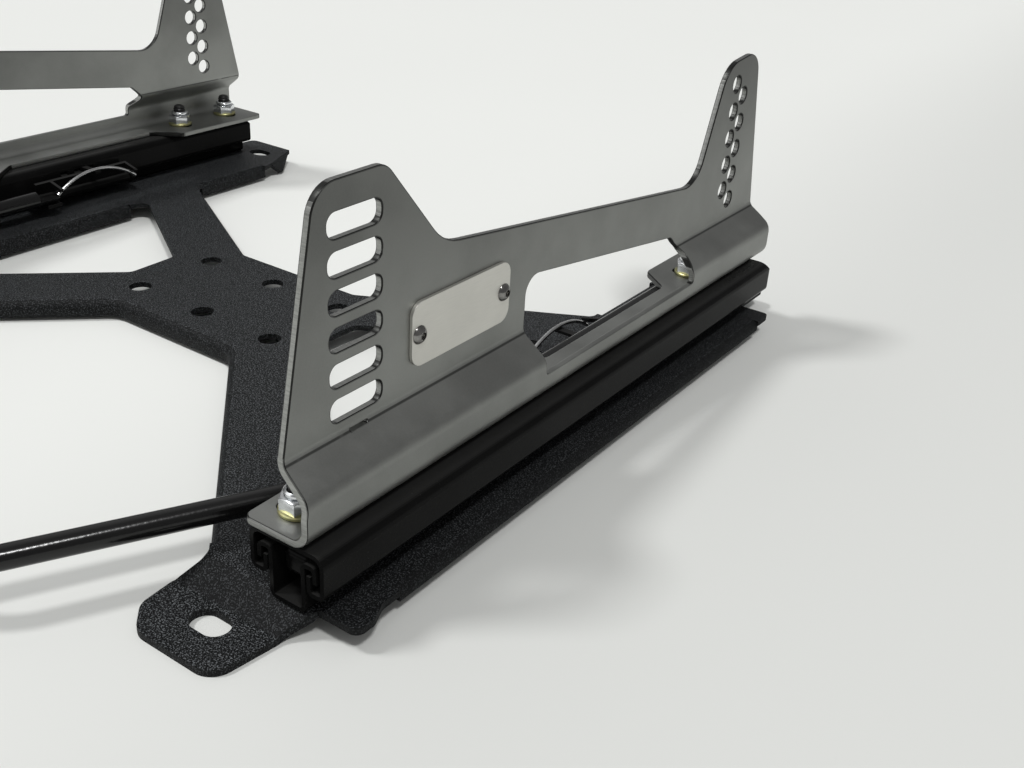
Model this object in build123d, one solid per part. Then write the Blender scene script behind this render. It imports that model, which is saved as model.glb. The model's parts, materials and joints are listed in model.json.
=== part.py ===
"""Sliding seat mount: a folded cross-shaped base, two ball slides and two seat side mounts.

Millimetres. +X is the side with the badge, +Y is towards the rear, +Z is up.
The origin lies on the floor, midway between the two front foot slots.
"""
import os
from math import cos, radians, sin, tan

from build123d import *

# Base plate
base_sheet = 3.0
foot_drop = 8.0
foot_slot_half_span = 187.0
rear_slot_y = 383.0
foot_slot_length = 17.0
foot_slot_width = 11.5
foot_notch_x = 165.0
foot_inner_x = 160.0
foot_outer_x = 211.5
foot_flare = 7.0
front_foot_y = -18.5
rear_foot_y = 403.0
rear_foot_outer_x = 215.0
ramp_front_y = 9.0
ramp_rear_y = 19.8
ramp_bend = 4.0
foot_corner_radius = 9.0
foot_corner_cut = 10.0
foot_inner_step = 1.5
deck_front_y = 21.5
deck_rear_y = 368.5
deck_outer_x = 233.0
tongue_x = 236.5
tongue_length = 9.0
tongue_slant = 8.0
deck_inner_x = 160.0
outer_lip_drop = 5.3
outer_lip_front_y = 48.0
outer_lip_rear_y = 355.0
inner_lip_drop = 8.3
lip_bend = 3.0
lip_overlap = 8.0
hub_front_y = 141.0
hub_rear_y = 232.0
hub_half_width = 43.5
hub_side_x = 70.0
hub_side_front_y = 172.0
hub_side_rear_y = 203.4
arm_lip_drop = 8.5
hub_corner_radius = 14.0
front_arm_inner_y = 82.0
rear_arm_front_y = 256.0
rear_arm_rear_y = 298.0
rear_arm_rear_x = 141.7
rear_arm_rear_turn_y = 287.3
window_turn_x = 130.0
window_turn_y = 238.6
inner_lip_front_y = 86.0
inner_lip_rear_y = 243.0
rear_lip_front_y = 303.0
rear_lip_rear_y = 362.0
window_corner_radius = 6.0
flap_angle = 66.0
flap_end_x = 176.4
flap_start_x = 161.5
flap_run = 34.0
flap_corner_back = 25.0
flap_corner_radius = 4.0
hub_hole_radius = 6.0
hub_hole_pitch_x = 50.0
hub_hole_row_span = 51.0
hub_hole_front_y = 162.2

# Slide rails
rail_centre_x = 208.2
rail_front_y = 17.0
rail_length = 361.0
rail_width = 35.0
rail_height = 27.0
rail_sheet = 1.8
rail_top_radius = 5.0
rail_curl_width = 8.2
rail_curl_height = 8.0
rail_underside = 9.0
lower_rail_width = 17.0
lower_rail_height = 21.8
lower_hook_width = 5.5
lower_hook_end = 14.9
fold_radius = 2.0
slide_travel = 90.0
upper_ball_radius = 1.5
lower_ball_radius = 1.7
upper_ball_u = 13.6
upper_ball_z = 22.9
lower_ball_u = 13.4
ball_reach = 115.0
spacer_radius = 1.2
ball_clearance = 0.25
rail_end_cut = 4.5
bumper_bottom = 9.5
bumper_height = 10.0
bumper_length = 10.0
bumper_reach = 4.5
bumper_radius = 2.5
bumper_clearance = 0.3

# Lock plate, its pin and its spring
lock_axis_u = -22.0
lock_axis_z = 9.0
lock_open_angle = 13.5
lock_front_y = 193.5
lock_length = 69.0
lock_sheet = 2.2
lock_gap = 0.9
lock_top = 19.0
barrel_radius = 3.0
lock_pin_radius = 2.0
running_clearance = 0.05
ear_radius = 3.5
ear_thickness = 3.0
ear_gap = 0.5
tooth_count = 3
tooth_pitch = 10.0
tooth_width = 4.4
tooth_bottom = 15.0
tooth_top = 17.5
tooth_tip_u = -12.7
notch_width = 5.2
notch_top = 19.3
tooth_window_bottom = 14.0
tooth_window_top = 21.0
tail_length = 10.0
tail_top = 7.9
tail_thickness = 2.0
tail_reach = 11.5
spring_wire_radius = 1.0
spring_reach = 30.2
spring_tab_width = 4.0
spring_tab_thickness = 1.5
spring_tab_clearance = 0.9
spring_arm_width = 2.0
spring_arm_thickness = 2.0
spring_arm_margin = 1.5
spring_arm_gap = 0.1
spring_end_drop = 2.1

# Release bar
bar_radius = 4.75
bar_leg_x = 178.4
bar_leg_z = 13.0
bar_leg_rear_y = 202.0
bar_bend_y = 62.0
bar_shoulder_x = 120.0
bar_shoulder_y = -50.0
bar_front_y = -72.0
bar_front_x = 78.0
bar_bend_radius = 34.0
bar_tip_length = 14.0
bar_tip_drop = 1.0
pivot_y = 140.0
pivot_pin_radius = 2.5
pivot_shoulder_radius = 4.5
pivot_head_radius = 4.2
pivot_head_thickness = 1.5
pivot_side_gap = 0.3

# Side mounts
mount_sheet = 3.0
mount_front_y = 16.0
mount_length = 367.0
mount_wall_x = 219.7
mount_plate_x = 206.6
mount_fold_radius = 8.0
mount_slant_bottom = 18.0
mount_slant_top = 27.5
mount_slant_radius = 6.0
mount_front_height = 13.0
mount_tower_top = 119.5
mount_tower_front = 20.7
mount_tower_rear = 54.6
mount_dip_front = 86.5
mount_dip_front_top = 82.9
mount_dip_rear = 292.0
mount_dip_rear_top = 55.8
mount_rear_front = 312.3
mount_rear_front_top = 112.4
mount_rear_rear = 346.5
mount_rear_top = 116.0
mount_rear_height = 24.0
flange_front_x = 189.0
flange_middle_x = 186.0
flange_neck_x = 196.0
flange_rear_x = 183.5
flange_neck_front_y = 188.0
flange_neck_rear_y = 296.0
slot_column_y = 55.2
slot_count = 6
slot_length = 26.3
slot_height = 9.0
slot_corner_radius = 4.0
slot_pitch = 13.37
slot_top_z = 104.4
seat_bolt_spacing = 285.2
rear_hole_radius = 4.5
rear_hole_count = 5
rear_hole_pitch = 13.9
rear_hole_top_z = 101.7
rear_hole_column_step = 9.0
window_front_y = 158.0
window_rear_y = 291.0
window_sill = 12.0
window_front_top = 51.6
window_rear_top = 34.3
relief_length = 9.0
relief_height = 1.2

# Fasteners
stud_x = 202.0
stud_radius = 4.0
stud_height = 17.0
stud_inset_front = 14.5
stud_pitch_front = 40.0
stud_pitch_rear = 41.0
stud_inset_rear = 19.0
stud_hole_clearance = 0.05
flange_slot_length = 18.4
mount_hole_clearance = 0.4
washer_radius = 7.8
washer_thickness = 1.6
nut_across_flats = 13.0
nut_height = 5.6
nut_collar_radius = 5.6
nut_collar_height = 2.4
base_bolt_radius = 3.0
base_bolt_head_radius = 5.2
base_bolt_head_height = 3.2
base_bolt_inset = 30.0
base_nut_across_flats = 10.0
base_nut_height = 5.0

# Badge
badge_length = 60.5
badge_height = 25.8
badge_thickness = 1.5
badge_centre_y = 113.4
badge_centre_z = 52.2
badge_screw_spacing = 52.3
badge_screw_radius = 2.0
badge_head_radius = 4.2
badge_head_height = 2.3
badge_socket = 2.5
badge_socket_depth = 1.3
badge_clearance = 0.2

# Levels that follow from the sizes above
deck_top = foot_drop + base_sheet
rail_top = deck_top + rail_height
mount_base = rail_top
flange_top = mount_base + mount_sheet
foot_flare_x = foot_outer_x + foot_flare
arm_corner_y = hub_front_y - (deck_inner_x - hub_half_width)
foot_notch_y = hub_front_y - (foot_notch_x - hub_half_width)
lip_outer_bend = lip_bend + base_sheet / 2
rail_rear_y = rail_front_y + rail_length
rail_middle_y = rail_front_y + rail_length / 2
mount_rear_y = mount_front_y + mount_length
lock_rear_y = lock_front_y + lock_length
lock_middle_y = lock_front_y + lock_length / 2
spring_front_y = lock_front_y + tail_length
spring_middle_y = (spring_front_y + lock_rear_y) / 2
lock_axis_x = rail_centre_x + lock_axis_u
lock_axis_height = deck_top + lock_axis_z
rail_inner_face_u = -rail_width / 2
bar_leg_height = deck_top + bar_leg_z
hub_hole_rear_y = hub_hole_front_y + hub_hole_row_span
rear_hole_y = slot_column_y + seat_bolt_spacing
stud_places_y = [
    mount_front_y + stud_inset_front,
    mount_front_y + stud_inset_front + stud_pitch_front,
    mount_rear_y - stud_inset_rear - stud_pitch_rear,
    mount_rear_y - stud_inset_rear,
]
base_bolt_places_y = [rail_front_y + base_bolt_inset, rail_rear_y - base_bolt_inset]
badge_screw_places_y = [
    badge_centre_y - badge_screw_spacing / 2,
    badge_centre_y + badge_screw_spacing / 2,
]


def folded_sheet(points, radii, wall, front_y, length):
    """A sheet of one wall thickness, folded along the middle line of its X-Z section and run along Y."""
    section = trace(FilletPolyline(*points, radius=radii), wall)
    return extrude(Plane.XZ.offset(-front_y) * section, -length)


def box_between(x, y, z):
    """A box between two values on each axis."""
    size = [abs(pair[1] - pair[0]) for pair in (x, y, z)]
    centre = [(pair[0] + pair[1]) / 2 for pair in (x, y, z)]
    return Pos(*centre) * Box(*size)


def upright_cylinder(x, y, z, radius, height):
    """A cylinder that stands on z."""
    return Pos(x, y, z + height / 2) * Cylinder(radius, height)


def rod_along_y(x, z, front_y, rear_y, radius):
    """A round rod along Y."""
    return Pos(x, (front_y + rear_y) / 2, z) * Rot(90, 0, 0) * Cylinder(radius, rear_y - front_y)


def rod_along_x(y, z, x_low, x_high, radius):
    """A round rod along X."""
    return Pos((x_low + x_high) / 2, y, z) * Rot(0, 90, 0) * Cylinder(radius, x_high - x_low)


def hexagon_nut(x, y, z, across_flats, height, bore):
    """A hexagon nut that stands on z, with its upper corners turned off."""
    blank = extrude(Pos(x, y, z) * RegularPolygon(across_flats / 2, 6, major_radius=False), height)
    turned = upright_cylinder(x, y, z, across_flats / 2 * 1.12, height)
    turned = chamfer(turned.edges().group_by(Axis.Z)[-1], across_flats * 0.07)
    return (blank & turned) - upright_cylinder(x, y, z, bore, height)


def both_sides(name, solid):
    """Keep the piece on the right and its mirror image on the left."""
    nodes[name + "_right"] = solid
    nodes[name + "_left"] = mirror(solid, Plane.YZ)


def group(pieces):
    """Several separate solids that share one node."""
    return Compound(children=[piece.solid() for piece in pieces])


def slot_plate(x, y, z_low, z_high, length, width):
    """A long hole along X, cut through between two levels."""
    return extrude(Pos(x, y, z_low) * SlotOverall(length, width), z_high - z_low)


def turned_edge(corners, radius, drop):
    """An edge of the deck turned down along a path with the deck on its left, and the room it takes."""
    path = Line(*corners) if len(corners) == 2 else FilletPolyline(*corners, radius=radius)
    start = Plane(path @ 0, x_dir=Vector(0, 0, 1).cross(path % 0), z_dir=path % 0)
    section = FilletPolyline(
        (lip_overlap, deck_top),
        (0, deck_top),
        (0, deck_top - drop),
        (base_sheet, deck_top - drop),
        (base_sheet, foot_drop),
        (lip_overlap, foot_drop),
        radius=[0, lip_outer_bend, 0, 0, lip_bend - base_sheet / 2, 0],
        close=True,
    )
    lip = sweep(start * make_face(section), path=path)
    sheet_middle = foot_drop + base_sheet / 2
    bend_face = Pos(lip_outer_bend / 2, sheet_middle) * Rectangle(lip_outer_bend, base_sheet)
    room = sweep(start * bend_face, path=path)
    return lip, room


def make_deck():
    """The flat cross of the base: hub, four arms and the two strips under the rails."""
    right_edge = [
        (hub_half_width, hub_front_y, hub_corner_radius),
        (deck_inner_x, arm_corner_y, 0),
        (foot_flare_x, arm_corner_y, 0),
        (foot_flare_x, deck_front_y, 0),
        (tongue_x, deck_front_y, 4),
        (tongue_x, deck_front_y + tongue_length, 6),
        (deck_outer_x, deck_front_y + tongue_length + tongue_slant, 8),
        (deck_outer_x, deck_rear_y, 3),
        (rear_foot_outer_x, deck_rear_y, 4),
        (rear_foot_outer_x, rear_foot_y, 5),
        (flap_end_x, rear_foot_y, 0),
        (flap_start_x, rear_foot_y - flap_run, 0),
        (deck_inner_x, rear_lip_rear_y + 1, 0),
        (deck_inner_x, rear_arm_rear_y, 5),
        (rear_arm_rear_x, rear_arm_rear_turn_y, 5),
        (hub_half_width, hub_rear_y, 5),
    ]
    left_edge = [(-x, y, radius) for x, y, radius in reversed(right_edge)]
    places = [corner[:2] for corner in right_edge + left_edge]
    radii = [corner[2] for corner in right_edge + left_edge]
    outline = extrude(make_face(FilletPolyline(*places, radius=radii, close=True)), base_sheet)
    window = [
        (hub_side_x, hub_side_front_y),
        (deck_inner_x, front_arm_inner_y),
        (deck_inner_x, rear_arm_front_y),
        (window_turn_x, window_turn_y),
        (hub_side_x + 1, hub_side_rear_y),
    ]
    window_path = FilletPolyline(*window, radius=window_corner_radius, close=True)
    cut = extrude(make_face(window_path), base_sheet)
    return Pos(0, 0, foot_drop) * (outline - cut - mirror(cut, Plane.YZ))


def make_base_plate():
    """One folded and pierced sheet with lips turned down along its edges."""
    outer_ends = [(deck_outer_x, outer_lip_front_y), (deck_outer_x, outer_lip_rear_y)]
    inner_ends = [(deck_inner_x, inner_lip_rear_y), (deck_inner_x, inner_lip_front_y)]
    rear_ends = [(deck_inner_x, rear_lip_rear_y), (deck_inner_x, rear_lip_front_y)]
    right_corners = [(hub_half_width, hub_front_y), (deck_inner_x, arm_corner_y)]
    left_corners = [(-x, y) for x, y in reversed(right_corners)]
    hub_lip, hub_room = turned_edge(left_corners + right_corners, hub_corner_radius, arm_lip_drop)
    plate = make_deck() - hub_room
    drops = [outer_lip_drop, inner_lip_drop, inner_lip_drop]
    for ends, drop in zip([outer_ends, inner_ends, rear_ends], drops):
        lip, room = turned_edge(ends, 0, drop)
        plate -= room
        plate -= mirror(room, Plane.YZ)
        plate += lip
        plate += mirror(lip, Plane.YZ)
    plate += hub_lip
    corner = make_front_foot() + make_rear_flap()
    plate = plate + corner + mirror(corner, Plane.YZ)
    for x in (-foot_slot_half_span, foot_slot_half_span):
        plate -= slot_plate(x, 0, -1, foot_drop, foot_slot_length, foot_slot_width)
        plate -= slot_plate(x, rear_slot_y, 0, deck_top + 1, foot_slot_length, foot_slot_width)
    for x in (-hub_hole_pitch_x, 0, hub_hole_pitch_x):
        for y in (hub_hole_front_y, hub_hole_rear_y):
            plate -= upright_cylinder(x, y, 0, hub_hole_radius, deck_top + 1)
    for x in (-rail_centre_x, rail_centre_x):
        for y in base_bolt_places_y:
            plate -= upright_cylinder(x, y, 0, base_bolt_radius + mount_hole_clearance, deck_top + 1)
    return plate


def make_front_foot():
    """A front foot: the deck steps down to the floor and ends in a rounded tongue."""
    middle = base_sheet / 2
    overlap_y = arm_corner_y + lip_overlap
    path = FilletPolyline(
        (front_foot_y, middle),
        (ramp_front_y, middle),
        (ramp_rear_y, foot_drop + middle),
        (overlap_y, foot_drop + middle),
        radius=ramp_bend,
    )
    start_x = hub_half_width + base_sheet
    step = extrude(Plane.YZ.offset(start_x) * trace(path, base_sheet), foot_flare_x - start_x)
    outline = FilletPolyline(
        (deck_inner_x + lip_overlap, overlap_y),
        (deck_inner_x, arm_corner_y),
        (foot_notch_x, foot_notch_y),
        (foot_inner_x - foot_inner_step, ramp_front_y - 1),
        (foot_inner_x, front_foot_y + foot_corner_cut),
        (foot_inner_x + foot_corner_cut, front_foot_y),
        (foot_outer_x - 4, front_foot_y),
        (foot_outer_x, ramp_front_y + 2),
        (foot_flare_x, ramp_rear_y),
        (foot_flare_x, overlap_y),
        radius=[0, 0, 5, 8, foot_corner_radius, foot_corner_radius, foot_corner_radius, 8, 4, 0],
        close=True,
    )
    return step & extrude(make_face(outline), deck_top)


def make_rear_flap():
    """A rear foot's inner corner, folded down to the floor along a slanting line."""
    start = Vector(flap_start_x, rear_foot_y - flap_run, deck_top)
    end = Vector(flap_end_x, rear_foot_y, deck_top)
    span = (end - start).length
    turn = radians(flap_angle)
    width = (deck_top - base_sheet * cos(turn)) / sin(turn)
    run = (end - start).normalized()
    outward = Vector(0, 0, 1).cross(run)
    plane = Plane(start, x_dir=run, z_dir=Vector(0, 0, cos(turn)) + outward * sin(turn))
    outline = FilletPolyline(
        (0, 0), (span, 0), (span - flap_corner_back, width), radius=[0, 0, flap_corner_radius], close=True
    )
    return extrude(plane * make_face(outline), -base_sheet)


def make_lower_rail():
    """The fixed rail: a channel on the deck with hooked edges, notched for the lock teeth."""
    half = lower_rail_width / 2 - rail_sheet / 2
    hook = half + lower_hook_width
    floor = deck_top + rail_sheet / 2
    top = deck_top + lower_rail_height - rail_sheet / 2
    end = deck_top + lower_hook_end
    x = rail_centre_x
    points = [(x - hook, end), (x - hook, top), (x - half, top), (x - half, floor)]
    points += [(2 * x - px, pz) for px, pz in reversed(points)]
    rail = folded_sheet(points, fold_radius, rail_sheet, rail_front_y, rail_length)
    steps = int(slide_travel / tooth_pitch) + tooth_count // 2
    for step in range(-steps, steps + 1):
        y = lock_middle_y + step * tooth_pitch
        lip_x = (x - hook - rail_sheet, x - hook + rail_sheet)
        notch_y = (y - notch_width / 2, y + notch_width / 2)
        rail -= box_between(lip_x, notch_y, (end - 1, deck_top + notch_top))
    for y in base_bolt_places_y:
        rail -= upright_cylinder(x, y, deck_top - 1, base_bolt_radius + mount_hole_clearance, rail_sheet + 2)
    return rail


def make_upper_rail():
    """The sliding rail: a cover whose lower edges curl inwards, with ears for the lock pin."""
    x = rail_centre_x
    side = rail_width / 2 - rail_sheet / 2
    top = rail_top - rail_sheet / 2
    bottom = deck_top + rail_underside + rail_sheet / 2
    lip = rail_width / 2 - rail_curl_width + rail_sheet / 2
    lip_end = deck_top + rail_underside + rail_curl_height
    points = [(x - lip, lip_end), (x - lip, bottom), (x - side, bottom), (x - side, top)]
    points += [(2 * x - px, pz) for px, pz in reversed(points)]
    top_radius = rail_top_radius - rail_sheet / 2
    radii = [fold_radius, fold_radius, top_radius, top_radius, fold_radius, fold_radius]
    rail = folded_sheet(points, radii, rail_sheet, rail_front_y, rail_length)
    wall = (x - side - rail_sheet, x - side + rail_sheet)
    for step in range(tooth_count):
        y = lock_middle_y + (step - tooth_count // 2) * tooth_pitch
        height = (deck_top + tooth_window_bottom, deck_top + tooth_window_top)
        rail -= box_between(wall, (y - notch_width / 2, y + notch_width / 2), height)
    for y in (lock_front_y - ear_gap - ear_thickness, lock_rear_y + ear_gap):
        rail += make_ear(y)
    rail += make_spring_tab()
    for y in stud_places_y:
        hole = stud_radius + stud_hole_clearance
        rail -= upright_cylinder(stud_x, y, rail_top - rail_sheet - 1, hole, rail_sheet + 2)
    wall_outer = x - rail_width / 2
    wall_inner = wall_outer + 2 * rail_sheet
    rail -= rod_along_x(pivot_y, bar_leg_height, wall_outer - 1, wall_inner, pivot_pin_radius)
    end_cut = Polyline(
        (rail_rear_y - rail_end_cut, rail_top),
        (rail_rear_y, rail_top - rail_end_cut),
        (rail_rear_y, rail_top),
        close=True,
    )
    rail -= extrude(Plane.YZ.offset(wall_outer - 1) * make_face(end_cut), rail_width + 2)
    return rail


def make_ear(front_y):
    """An ear pressed out of the rail's inner wall, which holds one end of the lock pin."""
    wall_x = rail_centre_x + rail_inner_face_u
    half_wall = rail_sheet / 2
    plate = box_between(
        (lock_axis_x, wall_x + half_wall),
        (front_y, front_y + ear_thickness),
        (lock_axis_height - ear_radius, lock_axis_height + ear_radius),
    )
    eye = rod_along_y(lock_axis_x, lock_axis_height, front_y, front_y + ear_thickness, ear_radius)
    bore = rod_along_y(lock_axis_x, lock_axis_height, front_y, front_y + ear_thickness, lock_pin_radius)
    return plate + eye - bore


def make_spring_tab():
    """A narrow tab above the lock plate, which bows the spring wire upwards."""
    wall_x = rail_centre_x + rail_inner_face_u
    low = deck_top + lock_top + spring_tab_clearance
    return box_between(
        (rail_centre_x - spring_reach - spring_wire_radius - 1, wall_x + rail_sheet / 2),
        (spring_middle_y - spring_tab_width / 2, spring_middle_y + spring_tab_width / 2),
        (low, low + spring_tab_thickness),
    )


def make_lock_plate():
    """The lock plate, turned open: toothed leg, barrel on its pin, a tail and two spring arms."""
    leg_outer = rail_centre_x + rail_inner_face_u - lock_gap
    leg = box_between(
        (leg_outer - lock_sheet, leg_outer),
        (lock_front_y, lock_rear_y),
        (lock_axis_height, deck_top + lock_top),
    )
    for step in range(tooth_count):
        y = lock_middle_y + (step - tooth_count // 2) * tooth_pitch
        leg += box_between(
            (leg_outer - lock_sheet / 2, rail_centre_x + tooth_tip_u),
            (y - tooth_width / 2, y + tooth_width / 2),
            (deck_top + tooth_bottom, deck_top + tooth_top),
        )
    arm_top = deck_top + lock_top
    for y in (spring_front_y, lock_rear_y - spring_arm_width):
        leg += box_between(
            (rail_centre_x - spring_reach - spring_arm_margin, leg_outer),
            (y, y + spring_arm_width),
            (arm_top - spring_arm_thickness, arm_top),
        )
    plate = leg.rotate(Axis((lock_axis_x, 0, lock_axis_height), (0, -1, 0)), lock_open_angle)
    plate += rod_along_y(lock_axis_x, lock_axis_height, lock_front_y, lock_rear_y, barrel_radius)
    tail_low = deck_top + tail_top - tail_thickness
    plate += box_between(
        (lock_axis_x - tail_reach, lock_axis_x),
        (lock_front_y, lock_front_y + tail_length),
        (tail_low, tail_low + tail_thickness),
    )
    bore = lock_pin_radius + running_clearance
    return plate - rod_along_y(lock_axis_x, lock_axis_height, lock_front_y, lock_rear_y, bore)


def make_lock_pin():
    """The pin along the rail on which the lock plate turns."""
    front = lock_front_y - ear_gap - ear_thickness - 1
    rear = lock_rear_y + ear_gap + ear_thickness + 1
    return rod_along_y(lock_axis_x, lock_axis_height, front, rear, lock_pin_radius)


def make_release_bar():
    """The round bar that joins both sides: two legs beside the rails and a bow in front."""
    right = [
        (bar_leg_x, bar_leg_rear_y),
        (bar_leg_x, bar_bend_y),
        (bar_shoulder_x, bar_shoulder_y),
        (bar_front_x, bar_front_y),
    ]
    points = right + [(-x, y) for x, y in reversed(right)]
    line = FilletPolyline(*points, radius=bar_bend_radius)
    path = Pos(0, 0, bar_leg_height) * line
    profile = Plane((bar_leg_x, bar_leg_rear_y, bar_leg_height), z_dir=(0, -1, 0)) * Circle(bar_radius)
    bar = sweep(profile, path=path)
    bore = pivot_pin_radius + running_clearance
    for x in (-bar_leg_x, bar_leg_x):
        low, high = (x - bar_radius - 1, x + bar_radius + 1)
        bar -= box_between(
            (low, high),
            (bar_leg_rear_y - bar_tip_length, bar_leg_rear_y + 1),
            (bar_leg_height - bar_tip_drop, bar_leg_height + bar_radius + 1),
        )
        bar -= rod_along_x(pivot_y, bar_leg_height, low, high, bore)
    return bar


def make_release_pivot():
    """The shouldered pin that carries one leg of the release bar."""
    wall_x = rail_centre_x + rail_inner_face_u
    shoulder_end = bar_leg_x + bar_radius + pivot_side_gap
    head_end = bar_leg_x - bar_radius - pivot_side_gap
    head_start = head_end - pivot_head_thickness
    pin = rod_along_x(pivot_y, bar_leg_height, head_end, wall_x + rail_sheet, pivot_pin_radius)
    pin += rod_along_x(pivot_y, bar_leg_height, shoulder_end, wall_x, pivot_shoulder_radius)
    pin += rod_along_x(pivot_y, bar_leg_height, head_start, head_end, pivot_head_radius)
    return pin


def make_spring():
    """The wire spring: a bow over the tab, with its ends under the lock plate's arms."""
    x = rail_centre_x - spring_reach
    crown = deck_top + lock_top + spring_tab_clearance + spring_tab_thickness + spring_wire_radius
    opening = radians(lock_open_angle)
    arm_rise = lock_top - spring_arm_thickness - lock_axis_z
    arm_underside = lock_axis_height + arm_rise / cos(opening) - (spring_reach + lock_axis_u) * tan(opening)
    wire_drop = (spring_arm_gap + spring_wire_radius) / cos(opening) + spring_end_drop
    end = arm_underside - wire_drop
    front = (x, spring_front_y, end)
    middle = (x, spring_middle_y, crown)
    rear = (x, lock_rear_y, end)
    path = ThreePointArc(front, middle, rear)
    profile = Plane(path @ 0, z_dir=path % 0) * Circle(spring_wire_radius)
    return sweep(profile, path=path)


def mount_outline():
    """The outline of a side mount seen from the side: two towers joined by a low bridge."""
    base = mount_base
    front = mount_front_y
    points = [
        (front, base - 1),
        (front, base + mount_front_height),
        (front + mount_tower_front, base + mount_tower_top),
        (front + mount_tower_rear, base + mount_tower_top),
        (front + mount_dip_front, base + mount_dip_front_top),
        (front + mount_dip_rear, base + mount_dip_rear_top),
        (front + mount_rear_front, base + mount_rear_front_top),
        (front + mount_rear_rear, base + mount_rear_top),
        (front + mount_length, base + mount_rear_height),
        (front + mount_length, base - 1),
    ]
    radii = [0, 12, 12, 9, 10, 8, 18, 13, 12, 0]
    return FilletPolyline(*points, radius=radii, close=True)


def window_outline():
    """The opening in the lower half of a side mount, which leaves a low lip along the flange."""
    base = mount_base
    points = [
        (window_front_y, base + window_sill),
        (window_front_y, base + window_front_top + 1.5),
        (window_rear_y - 5, base + window_rear_top),
        (window_rear_y + 5, base + window_rear_top - 9),
        (window_rear_y, base + window_sill + 7),
        (window_rear_y, base + window_sill),
    ]
    return FilletPolyline(*points, radius=[2, 8, 3, 4, 3, 2], close=True)


def flange_outline():
    """The plan of a side mount's flange, narrow in the middle so that the lock stays free."""
    front = mount_front_y
    rear = mount_rear_y
    outer = mount_wall_x + 10
    points = [
        (flange_front_x, front - 1),
        (flange_middle_x, flange_neck_front_y - 20),
        (flange_neck_x, flange_neck_front_y),
        (flange_neck_x, flange_neck_rear_y),
        (flange_rear_x, flange_neck_rear_y + 14),
        (flange_rear_x, rear + 1),
        (outer, rear + 1),
        (outer, front - 1),
    ]
    return FilletPolyline(*points, radius=[0, 6, 7, 7, 7, 0, 0, 0], close=True)


def make_side_mount():
    """One laser-cut plate, folded out and up from the flange on the rail, then back in under the seat."""
    half = mount_sheet / 2
    flange = mount_base + half
    wall = mount_wall_x - half
    plate = mount_plate_x - half
    points = [
        (flange_rear_x, flange),
        (wall, flange),
        (wall, mount_base + mount_slant_bottom),
        (plate, mount_base + mount_slant_top),
        (plate, mount_base + mount_tower_top + 2),
    ]
    radii = [mount_fold_radius - half, mount_slant_radius, mount_slant_radius]
    blank = folded_sheet(points, radii, mount_sheet, mount_front_y, mount_length)
    reach = deck_outer_x - flange_neck_x
    side = extrude(Plane.YZ.offset(flange_rear_x - 1) * make_face(mount_outline()), 2 * reach)
    plan = extrude(Pos(0, 0, mount_base - 1) * make_face(flange_outline()), mount_tower_top + 10)
    window = extrude(Plane.YZ.offset(flange_neck_x) * make_face(window_outline()), reach)
    mount = (blank & side & plan) - window
    for index in range(slot_count):
        z = mount_base + slot_top_z - index * slot_pitch
        slot = Plane.YZ.offset(flange_neck_x) * Pos(slot_column_y, z) * RectangleRounded(
            slot_length, slot_height, slot_corner_radius
        )
        mount -= extrude(slot, reach)
    for column in range(2):
        for index in range(rear_hole_count):
            y = rear_hole_y + column * rear_hole_column_step
            z = mount_base + rear_hole_top_z - (index + column / 2) * rear_hole_pitch
            mount -= rod_along_x(y, z, flange_neck_x, deck_outer_x, rear_hole_radius)
    hole_width = 2 * (stud_radius + mount_hole_clearance)
    for y in stud_places_y:
        long_hole = Pos(stud_x, y, mount_base - 1) * SlotOverall(flange_slot_length, hole_width)
        mount -= extrude(long_hole, mount_sheet + 2)
    relief_z = mount_base + mount_slant_top
    mount -= box_between(
        (flange_neck_x, deck_outer_x),
        (slot_column_y - relief_length / 2, slot_column_y + relief_length / 2),
        (relief_z, relief_z + relief_height),
    )
    return mount


def pierce_for_badge(mount):
    """The two screw holes of the badge in the right side mount."""
    centre_z = mount_base + badge_centre_z
    for y in badge_screw_places_y:
        mount -= rod_along_x(y, centre_z, flange_neck_x, mount_wall_x, badge_screw_radius)
    return mount


def make_studs():
    """The threaded studs that stand on a sliding rail, with rounded tips."""
    foot = rail_top - rail_sheet
    height = rail_sheet + stud_height
    studs = []
    for y in stud_places_y:
        stud = upright_cylinder(stud_x, y, foot, stud_radius, height)
        studs.append(chamfer(stud.edges().group_by(Axis.Z)[-1], 0.9))
    return group(studs)


def make_washers():
    """The washers between a flange and its nuts."""
    bore = stud_radius + mount_hole_clearance
    washers = []
    for y in stud_places_y:
        disc = upright_cylinder(stud_x, y, flange_top, washer_radius, washer_thickness)
        washers.append(disc - upright_cylinder(stud_x, y, flange_top, bore, washer_thickness))
    return group(washers)


def make_nuts():
    """The lock nuts that hold a side mount on its rail, each with a round collar on top."""
    level = flange_top + washer_thickness
    collar_level = level + nut_height
    nuts = []
    for y in stud_places_y:
        collar = upright_cylinder(stud_x, y, collar_level, nut_collar_radius, nut_collar_height)
        collar = fillet(collar.edges().group_by(Axis.Z)[-1], nut_collar_height * 0.6)
        collar -= upright_cylinder(stud_x, y, collar_level, stud_radius, nut_collar_height)
        nuts.append(hexagon_nut(stud_x, y, level, nut_across_flats, nut_height, stud_radius) + collar)
    return group(nuts)


def make_base_bolts():
    """The bolts that hold a fixed rail on the deck, with their low heads under it."""
    bolts = []
    for y in base_bolt_places_y:
        head_base = foot_drop - base_bolt_head_height
        head = upright_cylinder(rail_centre_x, y, head_base, base_bolt_head_radius, base_bolt_head_height)
        head = fillet(head.edges().group_by(Axis.Z)[0], 1.6)
        reach = base_sheet + rail_sheet + base_nut_height
        bolts.append(head + upright_cylinder(rail_centre_x, y, foot_drop, base_bolt_radius, reach))
    return group(bolts)


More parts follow.
